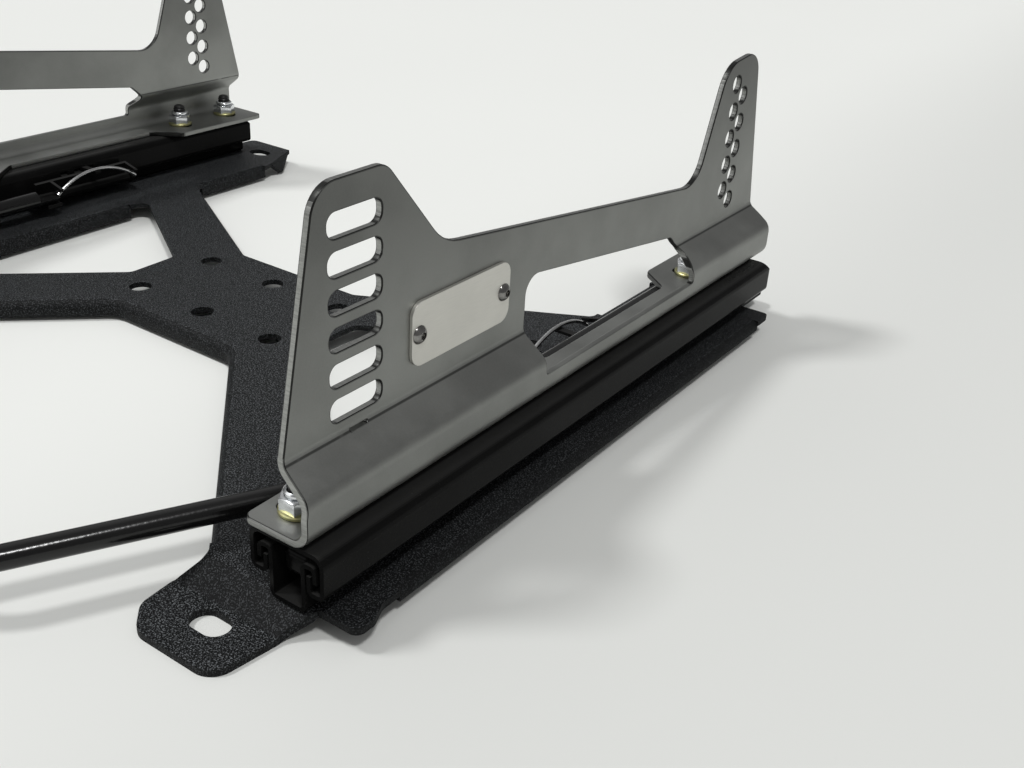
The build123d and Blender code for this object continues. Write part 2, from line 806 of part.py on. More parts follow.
def make_base_nuts():
    """The nuts inside a fixed rail."""
    level = deck_top + rail_sheet
    nuts = [
        hexagon_nut(rail_centre_x, y, level, base_nut_across_flats, base_nut_height, base_bolt_radius)
        for y in base_bolt_places_y
    ]
    return group(nuts)


def make_end_bumpers():
    """The round-edged bumpers pressed into both ends of a fixed rail: the rear one sticks out."""
    half = lower_rail_width / 2 - rail_sheet - bumper_clearance
    low = deck_top + bumper_bottom
    bumpers = []
    for y in (rail_front_y + bumper_reach, rail_rear_y + bumper_reach - bumper_length):
        x = (rail_centre_x - half, rail_centre_x + half)
        bumper = box_between(x, (y, y + bumper_length), (low, low + bumper_height))
        bumpers.append(fillet(bumper.edges(), bumper_radius))
    return group(bumpers)


def ball_tracks():
    """The four ball tracks of a slide as X, Z and ball radius."""
    tracks = []
    for side in (-1, 1):
        tracks.append((rail_centre_x + side * upper_ball_u, deck_top + upper_ball_z, upper_ball_radius))
        height = deck_top + rail_underside + rail_sheet + ball_clearance + lower_ball_radius
        tracks.append((rail_centre_x + side * lower_ball_u, height, lower_ball_radius))
    return tracks


def make_balls():
    """The steel balls between the two rails."""
    balls = []
    for x, z, radius in ball_tracks():
        for y in (rail_middle_y - ball_reach, rail_middle_y + ball_reach):
            balls.append(Pos(x, y, z) * Sphere(radius))
    return group(balls)


def make_spacers():
    """The rods that keep the balls of a track apart."""
    spacers = []
    for x, z, radius in ball_tracks():
        reach = ball_reach - radius - ball_clearance
        spacers.append(rod_along_y(x, z, rail_middle_y - reach, rail_middle_y + reach, spacer_radius))
    return group(spacers)


def make_badge_plate():
    """The bare round-cornered plate on the outer face of the right side mount."""
    outline = RectangleRounded(badge_length, badge_height, 3)
    centre_z = mount_base + badge_centre_z
    centre = Plane.YZ.offset(mount_plate_x) * Pos(badge_centre_y, centre_z)
    plate = extrude(centre * outline, badge_thickness)
    outer = mount_plate_x + badge_thickness
    for y in badge_screw_places_y:
        plate -= rod_along_x(y, centre_z, mount_plate_x - 1, outer + 1, badge_screw_radius + badge_clearance)
    return plate


def make_badge_screws():
    """Two button-head screws with hexagon sockets, which hold the badge plate."""
    centre_z = mount_base + badge_centre_z
    seat = mount_plate_x + badge_thickness
    screws = []
    for y in badge_screw_places_y:
        head = rod_along_x(y, centre_z, seat, seat + badge_head_height, badge_head_radius)
        head = fillet(head.edges().group_by(Axis.X)[-1], badge_head_height * 0.8)
        shank = rod_along_x(y, centre_z, mount_plate_x - mount_sheet, seat, badge_screw_radius)
        face = Plane.YZ.offset(seat + badge_head_height) * Pos(y, centre_z)
        hexagon = RegularPolygon(badge_socket / 2, 6, major_radius=False)
        socket = extrude(face * hexagon, -badge_socket_depth)
        screws.append(head + shank - socket)
    return group(screws)


nodes = {"base_plate": make_base_plate()}
both_sides("lower_rail", make_lower_rail())
both_sides("upper_rail", make_upper_rail())
side_mount = make_side_mount()
nodes["side_mount_right"] = pierce_for_badge(side_mount)
nodes["side_mount_left"] = mirror(side_mount, Plane.YZ)
both_sides("lock_plate", make_lock_plate())
both_sides("lock_pin", make_lock_pin())
both_sides("lock_spring", make_spring())
both_sides("release_pivot", make_release_pivot())
both_sides("rail_studs", make_studs())
both_sides("rail_washers", make_washers())
both_sides("rail_nuts", make_nuts())
both_sides("base_bolts", make_base_bolts())
both_sides("base_nuts", make_base_nuts())
both_sides("end_bumpers", make_end_bumpers())
both_sides("slide_balls", make_balls())
both_sides("ball_spacers", make_spacers())
nodes["release_bar"] = make_release_bar()
nodes["badge_plate"] = make_badge_plate()
nodes["badge_screws"] = make_badge_screws()

os.makedirs("parts", exist_ok=True)
for name, shape in nodes.items():
    export_step(shape, f"parts/{name}.step")
    print(name, len(shape.solids()), round(shape.volume, 1))
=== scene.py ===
# %% [markdown]
# # A sliding seat mount
#
# The real object is a steel frame that carries a car seat: a black folded base with four feet,
# two ball slides on it, and a grey upright on each slide. This notebook dresses the CAD model of it.
# The CAD solids already have the right sizes and stay the judge of every place. What is missing is
# what the eye needs: rounded cut edges, threads, chamfered nuts, and finishes with grain.

import json
import math

import bmesh
import bpy
from mathutils import Matrix, Vector


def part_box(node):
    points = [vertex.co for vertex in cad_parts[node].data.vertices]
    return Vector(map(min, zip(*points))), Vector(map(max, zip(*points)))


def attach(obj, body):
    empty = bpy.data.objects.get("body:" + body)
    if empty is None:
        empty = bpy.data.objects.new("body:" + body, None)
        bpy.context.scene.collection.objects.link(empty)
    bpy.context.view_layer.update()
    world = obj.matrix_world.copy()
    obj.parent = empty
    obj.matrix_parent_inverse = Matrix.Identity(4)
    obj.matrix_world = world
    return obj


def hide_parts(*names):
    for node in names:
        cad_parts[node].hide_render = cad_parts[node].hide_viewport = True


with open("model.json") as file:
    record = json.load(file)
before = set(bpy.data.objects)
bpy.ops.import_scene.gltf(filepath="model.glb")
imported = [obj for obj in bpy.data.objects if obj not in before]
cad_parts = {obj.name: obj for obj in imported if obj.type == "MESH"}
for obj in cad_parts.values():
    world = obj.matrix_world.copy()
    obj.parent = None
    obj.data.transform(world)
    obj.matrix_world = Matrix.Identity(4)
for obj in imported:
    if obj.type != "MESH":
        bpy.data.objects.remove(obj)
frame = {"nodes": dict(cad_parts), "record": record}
bpy.context.view_layer.update()
MM = 0.001

# %% [markdown]
# ## Camera
#
# The photograph looks down past the right-hand slide from the front. Its place was solved from
# corners whose sizes are known, so it is written here as a point and three directions. A camera
# built from directions needs no aiming, and its lens follows from the focal length in pixels of an
# image that is 1024 pixels wide.

# %% Place the camera
IMAGE_WIDTH = 1024
FOCAL_LENGTH = 1147.43
SENSOR_WIDTH = 36.0

camera_place = Vector((443.88, -205.80, 269.56)) * MM
camera_right = Vector((0.8157, 0.5759, 0.0547))
camera_back = Vector((0.4894, -0.7374, 0.4657))

lens = bpy.data.cameras.new("camera")
lens.sensor_fit = "HORIZONTAL"
lens.sensor_width = SENSOR_WIDTH
lens.lens = SENSOR_WIDTH * FOCAL_LENGTH / IMAGE_WIDTH
camera = bpy.data.objects.new("camera", lens)
bpy.context.scene.collection.objects.link(camera)
back = camera_back.normalized()
up = back.cross(camera_right).normalized()
right = up.cross(back)
directions = Matrix((right, up, back)).transposed().to_4x4()
camera.matrix_world = Matrix.Translation(camera_place) @ directions
bpy.context.scene.camera = camera
print("lens", round(lens.lens, 2), "mm")

# %% [markdown]
# ## One way to write node trees
#
# A material is a graph, but it is easier to read as sums and products. `Wire` stands for one output
# of a node, and arithmetic on wires adds Math nodes. The reflected forms let a number come first,
# as in 1 - mask.

# %% Wires
class Wire:
    """One output of a node."""

    def __init__(self, tree, socket):
        self.tree = tree
        self.socket = socket

    def maths(self, operation, *values):
        return self.tree.make("ShaderNodeMath", {"operation": operation}, dict(enumerate(values)))

    def __add__(self, other):
        return self.maths("ADD", self, other)

    def __radd__(self, other):
        return self.maths("ADD", other, self)

    def __sub__(self, other):
        return self.maths("SUBTRACT", self, other)

    def __rsub__(self, other):
        return self.maths("SUBTRACT", other, self)

    def __mul__(self, other):
        return self.maths("MULTIPLY", self, other)

    def __rmul__(self, other):
        return self.maths("MULTIPLY", other, self)

    def __truediv__(self, other):
        return self.maths("DIVIDE", self, other)

    def __abs__(self):
        return self.maths("ABSOLUTE", self)


print("wires ready")

# %% [markdown]
# ## One method for every node
#
# Any other node comes from `Tree.make`, which takes the node's type, its settings, and the values
# or wires of its sockets. Settings come first, because one such as a Mix node's data type changes
# which sockets are in use. The same class builds materials, the world and the Geometry Nodes.

# %% Trees
class Tree:
    """Makes nodes in one tree and joins them."""

    def __init__(self, group):
        self.group = group

    def make(self, kind, settings=None, inputs=None, output=0):
        node = self.group.nodes.new(kind)
        for name, value in (settings or {}).items():
            setattr(node, name, value)
        for key, value in (inputs or {}).items():
            socket = find_socket(node.inputs, key)
            for one in value if isinstance(value, list) else [value]:
                if isinstance(one, Wire):
                    self.group.links.new(one.socket, socket)
                else:
                    socket.default_value = one
        return Wire(self, find_socket(node.outputs, output))


def find_socket(sockets, key):
    """A node's socket by its number or by its name among those in use."""
    if isinstance(key, int):
        return [socket for socket in sockets if socket.enabled][key]
    return next(socket for socket in sockets if socket.enabled and socket.name == key)


print("trees ready")

# %% [markdown]
# ## Patterns that several finishes share
#
# Steel, powder coat and plating all need noise at some scale. Real grain has a size in millimetres,
# so each helper takes that size and turns it into Blender's scale, which counts cells per metre.
# Everything reads Object coordinates: a CAD node's object sits at the origin, so they are the
# object's own coordinates and stay with the piece when a slide moves.

# %% Places and patterns
def place(tree):
    """The point being shaded, in the piece's own coordinates."""
    return tree.make("ShaderNodeTexCoord", output="Object")


def part_of(tree, vector, axis):
    """One part of a vector: X, Y or Z."""
    return tree.make("ShaderNodeSeparateXYZ", inputs={"Vector": vector}, output=axis)


def stretched(tree, scale):
    """The shaded point with each axis scaled, for a grain that runs one way."""
    inputs = {0: place(tree), 1: scale}
    return tree.make("ShaderNodeVectorMath", {"operation": "MULTIPLY"}, inputs)


def noise(tree, cell, detail=2.0, at=None):
    """Smooth noise from 0 to 1 with cells of this size in millimetres."""
    inputs = {"Vector": at or place(tree), "Scale": 1.0 / (cell * MM), "Detail": detail}
    return tree.make("ShaderNodeTexNoise", inputs=inputs)


def between(tree, value, low, high):
    """0 below low, 1 above high, and a smooth step between."""
    inputs = {"Value": value, "From Min": low, "From Max": high}
    return tree.make("ShaderNodeMapRange", {"interpolation_type": "SMOOTHSTEP"}, inputs)


def bumps(tree, height, depth, strength=1.0):
    """A surface normal bent by a height from 0 to 1, whose full depth is in millimetres."""
    inputs = {"Height": height, "Distance": depth * MM, "Strength": strength}
    return tree.make("ShaderNodeBump", inputs=inputs)


def facing(tree, axis):
    """How far the surface faces along one axis of the piece, from 0 to 1."""
    normal = tree.make("ShaderNodeNewGeometry", output="True Normal")
    return abs(part_of(tree, normal, axis))


print("pattern helpers ready")

# %% [markdown]
# ## Colours and whole finishes
#
# Most surfaces here are one tint at different brightness, so a colour is written as a brightness
# and a tint. Colours are blended by Mix nodes, because a Math node would turn them grey. A finish
# is then a function that returns the wires of what changes over the surface.

# %% Colours and finishes
def mixed(tree, share, first, second):
    """A colour between two colours."""
    inputs = {"Factor": share, "A": first, "B": second}
    return tree.make("ShaderNodeMix", {"data_type": "RGBA"}, inputs, output="Result")


def grey(level, tint=(1.0, 1.0, 1.0)):
    """A colour from a brightness and a tint."""
    return tuple(level * part for part in tint) + (1.0,)


def tones(tree, share, first, second, tint):
    """One tint between two levels of brightness."""
    return mixed(tree, share, grey(first, tint), grey(second, tint))


def finish(name, build, **constants):
    """A material: build adds the varying wires, and constants go on the shader's own sockets."""
    material = bpy.data.materials.new(name)
    material.use_nodes = True
    group = material.node_tree
    shader = next(node for node in group.nodes if node.type == "BSDF_PRINCIPLED")
    for socket, value in constants.items():
        shader.inputs[socket.replace("_", " ")].default_value = value
    tree = Tree(group)
    for socket, wire in build(tree).items():
        group.links.new(wire.socket, shader.inputs[socket])
    return material


print("colour helpers ready")

# %% [markdown]
# ## Where the plate was cut
#
# The uprights are cut by laser from bare grey plate and folded. A face of the sheet always faces
# along X or Z, because every fold runs along the slide, so a surface that faces along Y must be a
# cut edge. Above the folds the sheet faces along X only, so there a surface that doesn't is a cut
# edge too. The rounded rim between a face and a cut edge points between the two. So the surface's
# direction finds both, and nothing has to be painted by hand.

# %% Masks of cut edges and rims
FOLD_ZONE_TOP = 68.0
EDGE_ALONG = (0.2, 0.35)
FACE_ACROSS = (0.3, 0.5)
RIM_START = (0.12, 0.3)
RIM_END_ALONG = (0.80, 0.95)
RIM_END_ACROSS = (0.86, 0.97)


def height_of(tree):
    """The shaded point's height in millimetres."""
    return part_of(tree, place(tree), "Z") / MM


def above_folds(tree):
    """1 where an upright stands straight and 0 where it is folded."""
    return between(tree, height_of(tree), FOLD_ZONE_TOP, FOLD_ZONE_TOP + 1.0)


def either(first, second):
    """The larger of two masks."""
    return first.maths("MAXIMUM", first, second)


def band(tree, value, start, end):
    """1 where a value lies between a rising and a falling smooth step."""
    return between(tree, value, *start) * (1.0 - between(tree, value, *end))


def cut_edge_mask(tree):
    """1 on the cut edges of an upright and 0 on the rolled faces."""
    along = between(tree, facing(tree, "Y"), *EDGE_ALONG)
    across = 1.0 - between(tree, facing(tree, "X"), *FACE_ACROSS)
    return either(along, across * above_folds(tree))


def rim_mask(tree):
    """1 on the rounded rims of an upright, which face neither along the sheet nor across it."""
    slanted = band(tree, facing(tree, "Y"), RIM_START, RIM_END_ALONG)
    leaning = band(tree, facing(tree, "X"), RIM_START, RIM_END_ACROSS)
    return either(slanted, leaning * above_folds(tree))


print("cut edge masks ready")

# %% [markdown]
# ## The plate's rolled faces
#
# The faces are satin with a cloudy tone and a few scratches. They are lighter near the folds than
# at the top, which mirrors a darker part of the room. Two lamps can't show that, so the colour
# itself changes with height. Scratches are noise that is turned and drawn out, with all but its
# highest lines left off, and a slower noise gathers them in groups.

# %% Faces and scratches
STEEL = (0.212, 0.216, 0.206)
CUT_STEEL = (0.34, 0.345, 0.33)
MOUNT_TOP = 157.0
LOW_TONES = (1.02, 1.66)
HIGH_TONES = (0.58, 1.02)
SCRATCH_CELL = 0.7
SCRATCH_GROUP = 22.0
# Each pair is a turn about X in radians and how far the turned grain is drawn out along each axis.
SCRATCHES = ((0.5, (1.0, 12.0, 1.0)), (-0.9, (1.0, 1.0, 14.0)))


def scratch_lines(tree, slant, stretch):
    """Fine lines at one slant, from 0 to 1."""
    inputs = {"Vector": place(tree), "Angle": slant}
    turned = tree.make("ShaderNodeVectorRotate", {"rotation_type": "X_AXIS"}, inputs)
    grain = tree.make("ShaderNodeVectorMath", {"operation": "DIVIDE"}, {0: turned, 1: stretch})
    return between(tree, noise(tree, SCRATCH_CELL, 1.0, at=grain), 0.74, 0.80)


def rolled_face(tree, mottle):
    """The colour of the sheet's faces, from a mottle of 0 to 1."""
    low = tones(tree, mottle, *LOW_TONES, STEEL)
    high = tones(tree, mottle, *HIGH_TONES, STEEL)
    face = mixed(tree, between(tree, height_of(tree), FOLD_ZONE_TOP, MOUNT_TOP), low, high)
    scratches = sum(scratch_lines(tree, *scratch) for scratch in SCRATCHES)
    scratches = scratches * between(tree, noise(tree, SCRATCH_GROUP), 0.55, 0.68)
    return mixed(tree, scratches * 0.3, face, grey(1.0, CUT_STEEL))


print("plate faces ready")

# %% [markdown]
# ## Grey plate steel
#
# The whole finish lays four things over each other. First come the faces, with a very fine grain.
# A fine, broken dark line of painted shade lies along the upper fold. The cut edges are brighter,
# with fine lines across the thickness, left by the beam. The rims come last: they are darker, which
# draws a thin line round every hole.

# %% Mount steel
CLOUD_CELL = 38.0
PLATE_GRAIN = 0.7
BEAM_LINE = 0.45
CUT_TONES = (0.82, 1.06)
RIM_TONE = 0.15
# Painted shade at the upper fold: its tone, its spread either side of the fold and the size of its
# gaps.
CREASE_SHADE_TONE = 0.25
CREASE_SHADE_SPREAD = (0.2, 0.6)
CREASE_SHADE_GAP = 12.0
UPPER_FOLD_Z = 66.0
STEEL_BUMP = 0.012


def crease_shade_line(tree):
    """1 on the broken line of painted shade along the upper fold."""
    line = 1.0 - between(tree, abs(height_of(tree) - UPPER_FOLD_Z), *CREASE_SHADE_SPREAD)
    return line * between(tree, noise(tree, CREASE_SHADE_GAP), 0.2, 0.4)


def mount_steel(tree):
    cloud = between(tree, noise(tree, CLOUD_CELL, 5.0), 0.3, 0.7)
    grain = noise(tree, PLATE_GRAIN, 3.0)
    cut = cut_edge_mask(tree)
    lines = noise(tree, BEAM_LINE, 1.0, at=stretched(tree, (0.08, 1.0, 1.0)))
    lines = between(tree, lines, 0.3, 0.7)
    # Painted shade along the upper fold, kept off the cut edges.
    crease_shade = crease_shade_line(tree) * (1.0 - cut) * 0.8
    face = rolled_face(tree, cloud * 0.55 + grain * 0.45)
    face = mixed(tree, crease_shade, face, grey(CREASE_SHADE_TONE, STEEL))
    plate = mixed(tree, cut, face, tones(tree, lines, *CUT_TONES, CUT_STEEL))
    colour = mixed(tree, rim_mask(tree), plate, grey(RIM_TONE, STEEL))
    rough = 0.38 + grain * 0.14 + cloud * 0.06 - cut * 0.12
    surface = bumps(tree, grain * (1.0 - cut) + lines * cut, STEEL_BUMP, 0.8)
    return {"Base Color": colour, "Roughness": rough, "Normal": surface}


materials = {"mount_steel": finish("mount_steel", mount_steel, Metallic=1.0)}
print("mount steel made")

# %% [markdown]
# ## Sparkling black powder coat
#
# The base is coated with a textured powder: hard black grains up to a millimetre across that stand
# up from the surface, so each catches the light on one side and the whole sparkles. Cells of a
# Voronoi pattern give soft pebbles and a finer noise breaks them up. The grains alone would look
# like flat dots, so they are bump and colour at once: their light grey colour is painted glints.
# On slopes and outside the rails less of the grain shows, and the darker colour there is painted
# shade.

# %% Base coat
COAT_GRAIN = 0.9
FINE_GRAIN = 0.58
GRAIN_DEPTH = 0.42
COAT_CLOUD = 30.0
LEVEL_FACE = (0.93, 0.985)
OUTER_STRIP = (212.0, 222.0)
COAT_DARK = (0.0040, 0.0044, 0.0046)
# The grains' light grey is painted glints; the grains themselves are black.
PAINTED_GLINT = (0.135, 0.143, 0.150)


def grain_share_with_painted_shade(tree):
    """How much of the grain shows: all of it on level faces between the rails, and less elsewhere,
    which is painted shade.
    """
    # Painted shade: fewer light grains on slopes and on the strip outside the rails.
    level = 0.35 + between(tree, facing(tree, "Z"), *LEVEL_FACE) * 0.65
    side = abs(part_of(tree, place(tree), "X"))
    outside = between(tree, side, *(x * MM for x in OUTER_STRIP))
    return level * (1.0 - outside * 0.5)


def base_coat(tree):
    share_after_painted_shade = grain_share_with_painted_shade(tree)
    inputs = {"Vector": place(tree), "Scale": 1.0 / (COAT_GRAIN * MM), "Randomness": 1.0}
    cell = tree.make("ShaderNodeTexVoronoi", {"feature": "F1"}, inputs, output="Distance")
    pebble = 1.0 - between(tree, cell, 0.15, 0.6)
    fine = noise(tree, FINE_GRAIN)
    painted_glint_grains = between(tree, pebble * 0.1 + fine, 0.52, 0.70) * share_after_painted_shade
    dark = tones(tree, noise(tree, COAT_CLOUD), 0.8, 1.3, COAT_DARK)
    # Painted glints: the grains are mixed towards a light grey, fewer where painted shade falls.
    colour = mixed(tree, painted_glint_grains, dark, grey(1.0, PAINTED_GLINT))
    rough = 0.62 + fine * 0.2 - share_after_painted_shade * 0.26 - painted_glint_grains * 0.14
    surface = bumps(tree, (pebble * 0.35 + fine) * share_after_painted_shade, GRAIN_DEPTH)
    return {"Base Color": colour, "Roughness": rough, "Normal": surface}


materials["base_coat"] = finish("base_coat", base_coat, Specular_IOR_Level=0.13)
print("base coat made")

# %% [markdown]
# ## Smooth blacks
#
# The rails, the lock parts and the release bar are black too, but smooth. The rails have a thin
# semi-gloss dip coat with a faint ripple, and the bar has a thicker glossy one. Dust lies on all
# of them in specks, and a little more of it on what faces up. One recipe with different numbers
# serves both, and the studs' black oxide as well.

# %% Rail coat, bar coat and black oxide
DUST = grey(0.16, (1.0, 1.0, 0.97))
DUST_SPECK = 0.5
DUST_PATCH = 14.0
DUST_CLOUD = 25.0


def smooth_black(level, rough, ripple, ripple_depth, dust):
    """A recipe for a smooth black finish: ripple is its cell size, dust how much grey lies on it."""
    def build(tree):
        specks = between(tree, noise(tree, DUST_SPECK), 0.66, 0.74)
        specks = specks * between(tree, noise(tree, DUST_PATCH), 0.4, 0.7)
        settled = between(tree, facing(tree, "Z"), 0.7, 0.95) * 0.6
        drift = noise(tree, DUST_CLOUD, 3.0)
        dusty = (specks + settled + drift * 0.2) * dust
        surface = bumps(tree, noise(tree, ripple, 1.0), ripple_depth)
        colour = mixed(tree, dusty, grey(level), DUST)
        return {"Base Color": colour, "Roughness": rough + drift * 0.08, "Normal": surface}
    return build


# Brightness, roughness, the ripple's cell and depth in millimetres, dust, and the shine.
SMOOTH_BLACKS = {
    "rail_coat": (0.0028, 0.14, 1.6, 0.015, 0.14, 0.045),
    "bar_gloss": (0.0035, 0.15, 1.6, 0.035, 0.04, 0.40),
    "stud_black": (0.010, 0.34, 0.7, 0.01, 0.1, 0.30),
}
for slot, (*recipe, shine) in SMOOTH_BLACKS.items():
    materials[slot] = finish(slot, smooth_black(*recipe), Specular_IOR_Level=shine)
print("smooth blacks made")

# %% [markdown]
# ## Plated and plain metals
#
# The washers are zinc plated and yellow passivated, so their colour drifts between straw and
# olive. The nuts are bright zinc, and pins, wire, balls and screws are plain or polished steel.
# They differ in colour, in the drift of it, and in roughness.

# %% Metals
def metal(first, second, drift_size, rough, grain, grain_depth):
    """A recipe for a metal whose colour drifts between two colours."""
    def build(tree):
        drift = between(tree, noise(tree, drift_size, 3.0), 0.3, 0.7)
        fine = noise(tree, grain)
        colour = mixed(tree, drift, first, second)
        surface = bumps(tree, fine, grain_depth)
        return {"Base Color": colour, "Roughness": rough + fine * 0.12, "Normal": surface}
    return build


STRAW = grey(1.0, (0.54, 0.50, 0.24))
OLIVE = grey(1.0, (0.42, 0.42, 0.22))
ZINC = (0.98, 1.0, 1.02)
WARM_STEEL = (1.0, 0.98, 0.94)

# Two colours, the size of the drift between them, roughness, and the grain's size and depth.
METALS = {
    "yellow_zinc": (STRAW, OLIVE, 3.0, 0.32, 0.3, 0.006),
    "bright_zinc": (grey(0.80, ZINC), grey(0.62, ZINC), 4.0, 0.14, 0.5, 0.004),
    "pin_steel": (grey(0.42), grey(0.30), 5.0, 0.30, 0.3, 0.005),
    "spring_wire": (grey(0.72), grey(0.55), 6.0, 0.18, 0.4, 0.004),
    "ball_steel": (grey(0.75), grey(0.70), 8.0, 0.06, 1.0, 0.001),
    "screw_steel": (grey(0.30, WARM_STEEL), grey(0.20, WARM_STEEL), 2.5, 0.12, 0.3, 0.006),
}
for slot, recipe in METALS.items():
    materials[slot] = finish(slot, metal(*recipe), Metallic=1.0)
print(len(METALS), "metals made")

# %% [markdown]
# ## Badge plate and ball spacers
#
# The badge is a small plate of brushed metal. Noise that is drawn out along Y gives the brush
# strokes, and the same strokes change colour, roughness and bump, as real ones do. The rods that
# keep the balls apart are pale nylon, which needs no more than a slow drift of its colour.

# %% Brushed badge and nylon
BADGE_METAL = (0.63, 0.62, 0.575)
BADGE_TONES = (0.80, 1.16)
BRUSH_STROKE = 0.22
BADGE_CLOUD = 18.0
NYLON = (0.6, 0.58, 0.5)
NYLON_TONES = (0.9, 1.1)
NYLON_CLOUD = 6.0


def brushed_badge(tree):
    strokes = noise(tree, BRUSH_STROKE, at=stretched(tree, (1.0, 0.03, 1.0)))
    brightness = strokes * 0.6 + noise(tree, BADGE_CLOUD) * 0.4
    colour = tones(tree, brightness, *BADGE_TONES, BADGE_METAL)
    surface = bumps(tree, strokes, 0.006)
    return {"Base Color": colour, "Roughness": 0.30 + strokes * 0.16, "Normal": surface}


def nylon(tree):
    drift = noise(tree, NYLON_CLOUD)
    colour = tones(tree, drift, *NYLON_TONES, NYLON)
    return {"Base Color": colour, "Roughness": 0.42 + drift * 0.1}


materials["badge_metal"] = finish("badge_metal", brushed_badge, Metallic=0.75)
materials["spacer_plastic"] = finish("spacer_plastic", nylon)
print(len(materials), "finishes")

# %% [markdown]
# ## Giving each node its finish
#
# The record names a material slot for every CAD node. The same names are used for the finishes
# above, so one loop gives every node its own.

# %% Assign the finishes
slot_of = {part["node"]: part["material_slot"] for part in frame["record"]["subparts"]}
for name, node in frame["nodes"].items():
    node.data.materials.clear()
    node.data.materials.append(materials[slot_of[name]])
print(len(slot_of), "nodes painted")

# %% [markdown]
# ## Putting a piece in a node's place
#
# A piece that is made here stands for one CAD node: it has that node's finish, rides the same
# moving body, and takes the node's place in the picture. One function does that for all.

# %% Dress a piece as its node
bodies = frame["record"]["behaviour"]["bodies"]
body_of = {name: body for body, names in bodies.items() for name in names}


def dress(piece, node):
    """Puts a finished piece in the place of a CAD node: its body and its finish."""
    if not piece.data.materials:
        piece.data.materials.append(materials[slot_of[node]])
    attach(piece, body_of[node])
    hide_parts(node)


# %% [markdown]
# ## Copies of CAD nodes
#
# A CAD edge is perfectly sharp, and under soft light it disappears. A real cut edge is slightly
# rounded, and shows as a thin line of light. The CAD mesh itself stays as it is, so the piece
# that is shown is a copy: its loose triangles are merged and flat areas become single faces, which
# is what a Bevel modifier needs. A finished copy has no modifier left, only plain mesh.

# %% Merge, bake and shade
FLAT_ANGLE = math.radians(0.6)
EDGE_ANGLE = math.radians(34.0)
WELD_DISTANCE = 0.002 * MM


def merged_copy(name, node):
    """A new object with a CAD node's shape as one closed mesh of large flat faces."""
    shape = bmesh.new()
    shape.from_mesh(frame["nodes"][node].data)
    bmesh.ops.remove_doubles(shape, verts=shape.verts, dist=WELD_DISTANCE)
    bmesh.ops.dissolve_limit(shape, angle_limit=FLAT_ANGLE, verts=shape.verts, edges=shape.edges)
    mesh = bpy.data.meshes.new(name)
    shape.to_mesh(mesh)
    shape.free()
    piece = bpy.data.objects.new(name, mesh)
    bpy.context.scene.collection.objects.link(piece)
    return piece


def bake(piece):
    """Turns a piece's modifiers into plain mesh and leaves none."""
    graph = bpy.context.evaluated_depsgraph_get()
    mesh = bpy.data.meshes.new_from_object(piece.evaluated_get(graph))
    piece.modifiers.clear()
    piece.data = mesh
    mesh.name = piece.name


def shade(piece):
    """Smooth shading with sharp edges only above the angle."""
    piece.data.shade_smooth()
    piece.data.set_sharp_from_angle(angle=EDGE_ANGLE)


print("copy helpers ready")

# %% [markdown]
# ## Wider corners
#
# A rounded corner of a plate can be made wider on the copy, with the sheet left as thick as it is:
# its points are moved onto a larger arc that still touches both straight sides. The arc's centre
# follows from the corner where the sides would meet and from where the arc starts on them. The
# badge plate gets such corners, and so do the inner corners of the uprights in the next step.

# %% Round a corner
BADGE_ARC = (3.2, 5.6)


def rework(piece, work):
    """Changes a piece's mesh by a function on its bmesh."""
    shape = bmesh.new()
    shape.from_mesh(piece.data)
    work(shape)
    shape.normal_update()
    shape.to_mesh(piece.data)
    shape.free()


def round_corner(shape, corner, reach, tangent):
    """Moves a plate's points within reach of a corner onto an arc that starts this far from it."""
    corner = Vector(corner) * MM
    near = [v for v in shape.verts if (v.co.yz - corner).length < reach * MM]
    near.sort(key=lambda v: (v.co.y, v.co.z))
    before = (near[0].co.yz - corner).normalized()
    after = (near[-1].co.yz - corner).normalized()
    half = before.angle(after) / 2
    middle = corner + (before + after).normalized() * (tangent * MM / math.cos(half))
    start = corner + before * tangent * MM - middle
    end = corner + after * tangent * MM - middle
    places = sorted({(round(v.co.y, 7), round(v.co.z, 7)) for v in near})
    arc = {}
    for step, spot in enumerate(places):
        turned = start.to_3d().slerp(end.to_3d(), step / (len(places) - 1))
        arc[spot] = middle + turned.to_2d() * start.length
    for vertex in near:
        vertex.co.yz = arc[(round(vertex.co.y, 7), round(vertex.co.z, 7))]


def trim_badge(shape):
    """Gives the badge plate its wide corners."""
    low, high = (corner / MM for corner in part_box("badge_plate"))
    for y in (low.y, high.y):
        for z in (low.z, high.z):
            round_corner(shape, (y, z), *BADGE_ARC)


print("corner helpers ready")

# %% [markdown]
# ## The uprights' outline
#
# The flange that an upright stands on is narrower between its two bolted ends, and the ends'
# corners are rounded. The neck is a smooth step along Y that moves the flange's free edge, and the
# corners are upright edges that a small bevel rounds.

# %% Trim the uprights
# Each row is a corner's Y and Z, how far the CAD arc reaches from it, and the wider arc's start.
INNER_CORNERS = (((102.5, 120.9), 4.6, 9.0), ((308.0, 93.8), 7.2, 13.0))
FLANGE_TOP = 41.1
FLANGE_EDGE = 201.0
NECK_START = (170.0, 190.0)
NECK_END = (294.0, 310.0)
NECK_TRIM = 4.6
FLANGE_MIDDLE = (17.0, 382.0)
FLANGE_CORNER = 3.6
SHEET_THICKNESS = 3.0


def smooth_step(value, low, high):
    """0 below low, 1 above high, and a smooth step between."""
    share = min(max((value - low) / (high - low), 0.0), 1.0)
    return share * share * (3 - 2 * share)


def on_flange(spot):
    """Whether a point in millimetres lies on the flange or its free edge."""
    return spot.z < FLANGE_TOP and abs(spot.x) < FLANGE_EDGE


def is_end_corner(low, high):
    """Whether an edge between two points stands upright at an end of the flange."""
    upright = (low - high).xy.length < 0.01 and abs(low.z - high.z) > SHEET_THICKNESS - 0.1
    at_end = not FLANGE_MIDDLE[0] < low.y < FLANGE_MIDDLE[1]
    return upright and at_end and on_flange(low) and on_flange(high)


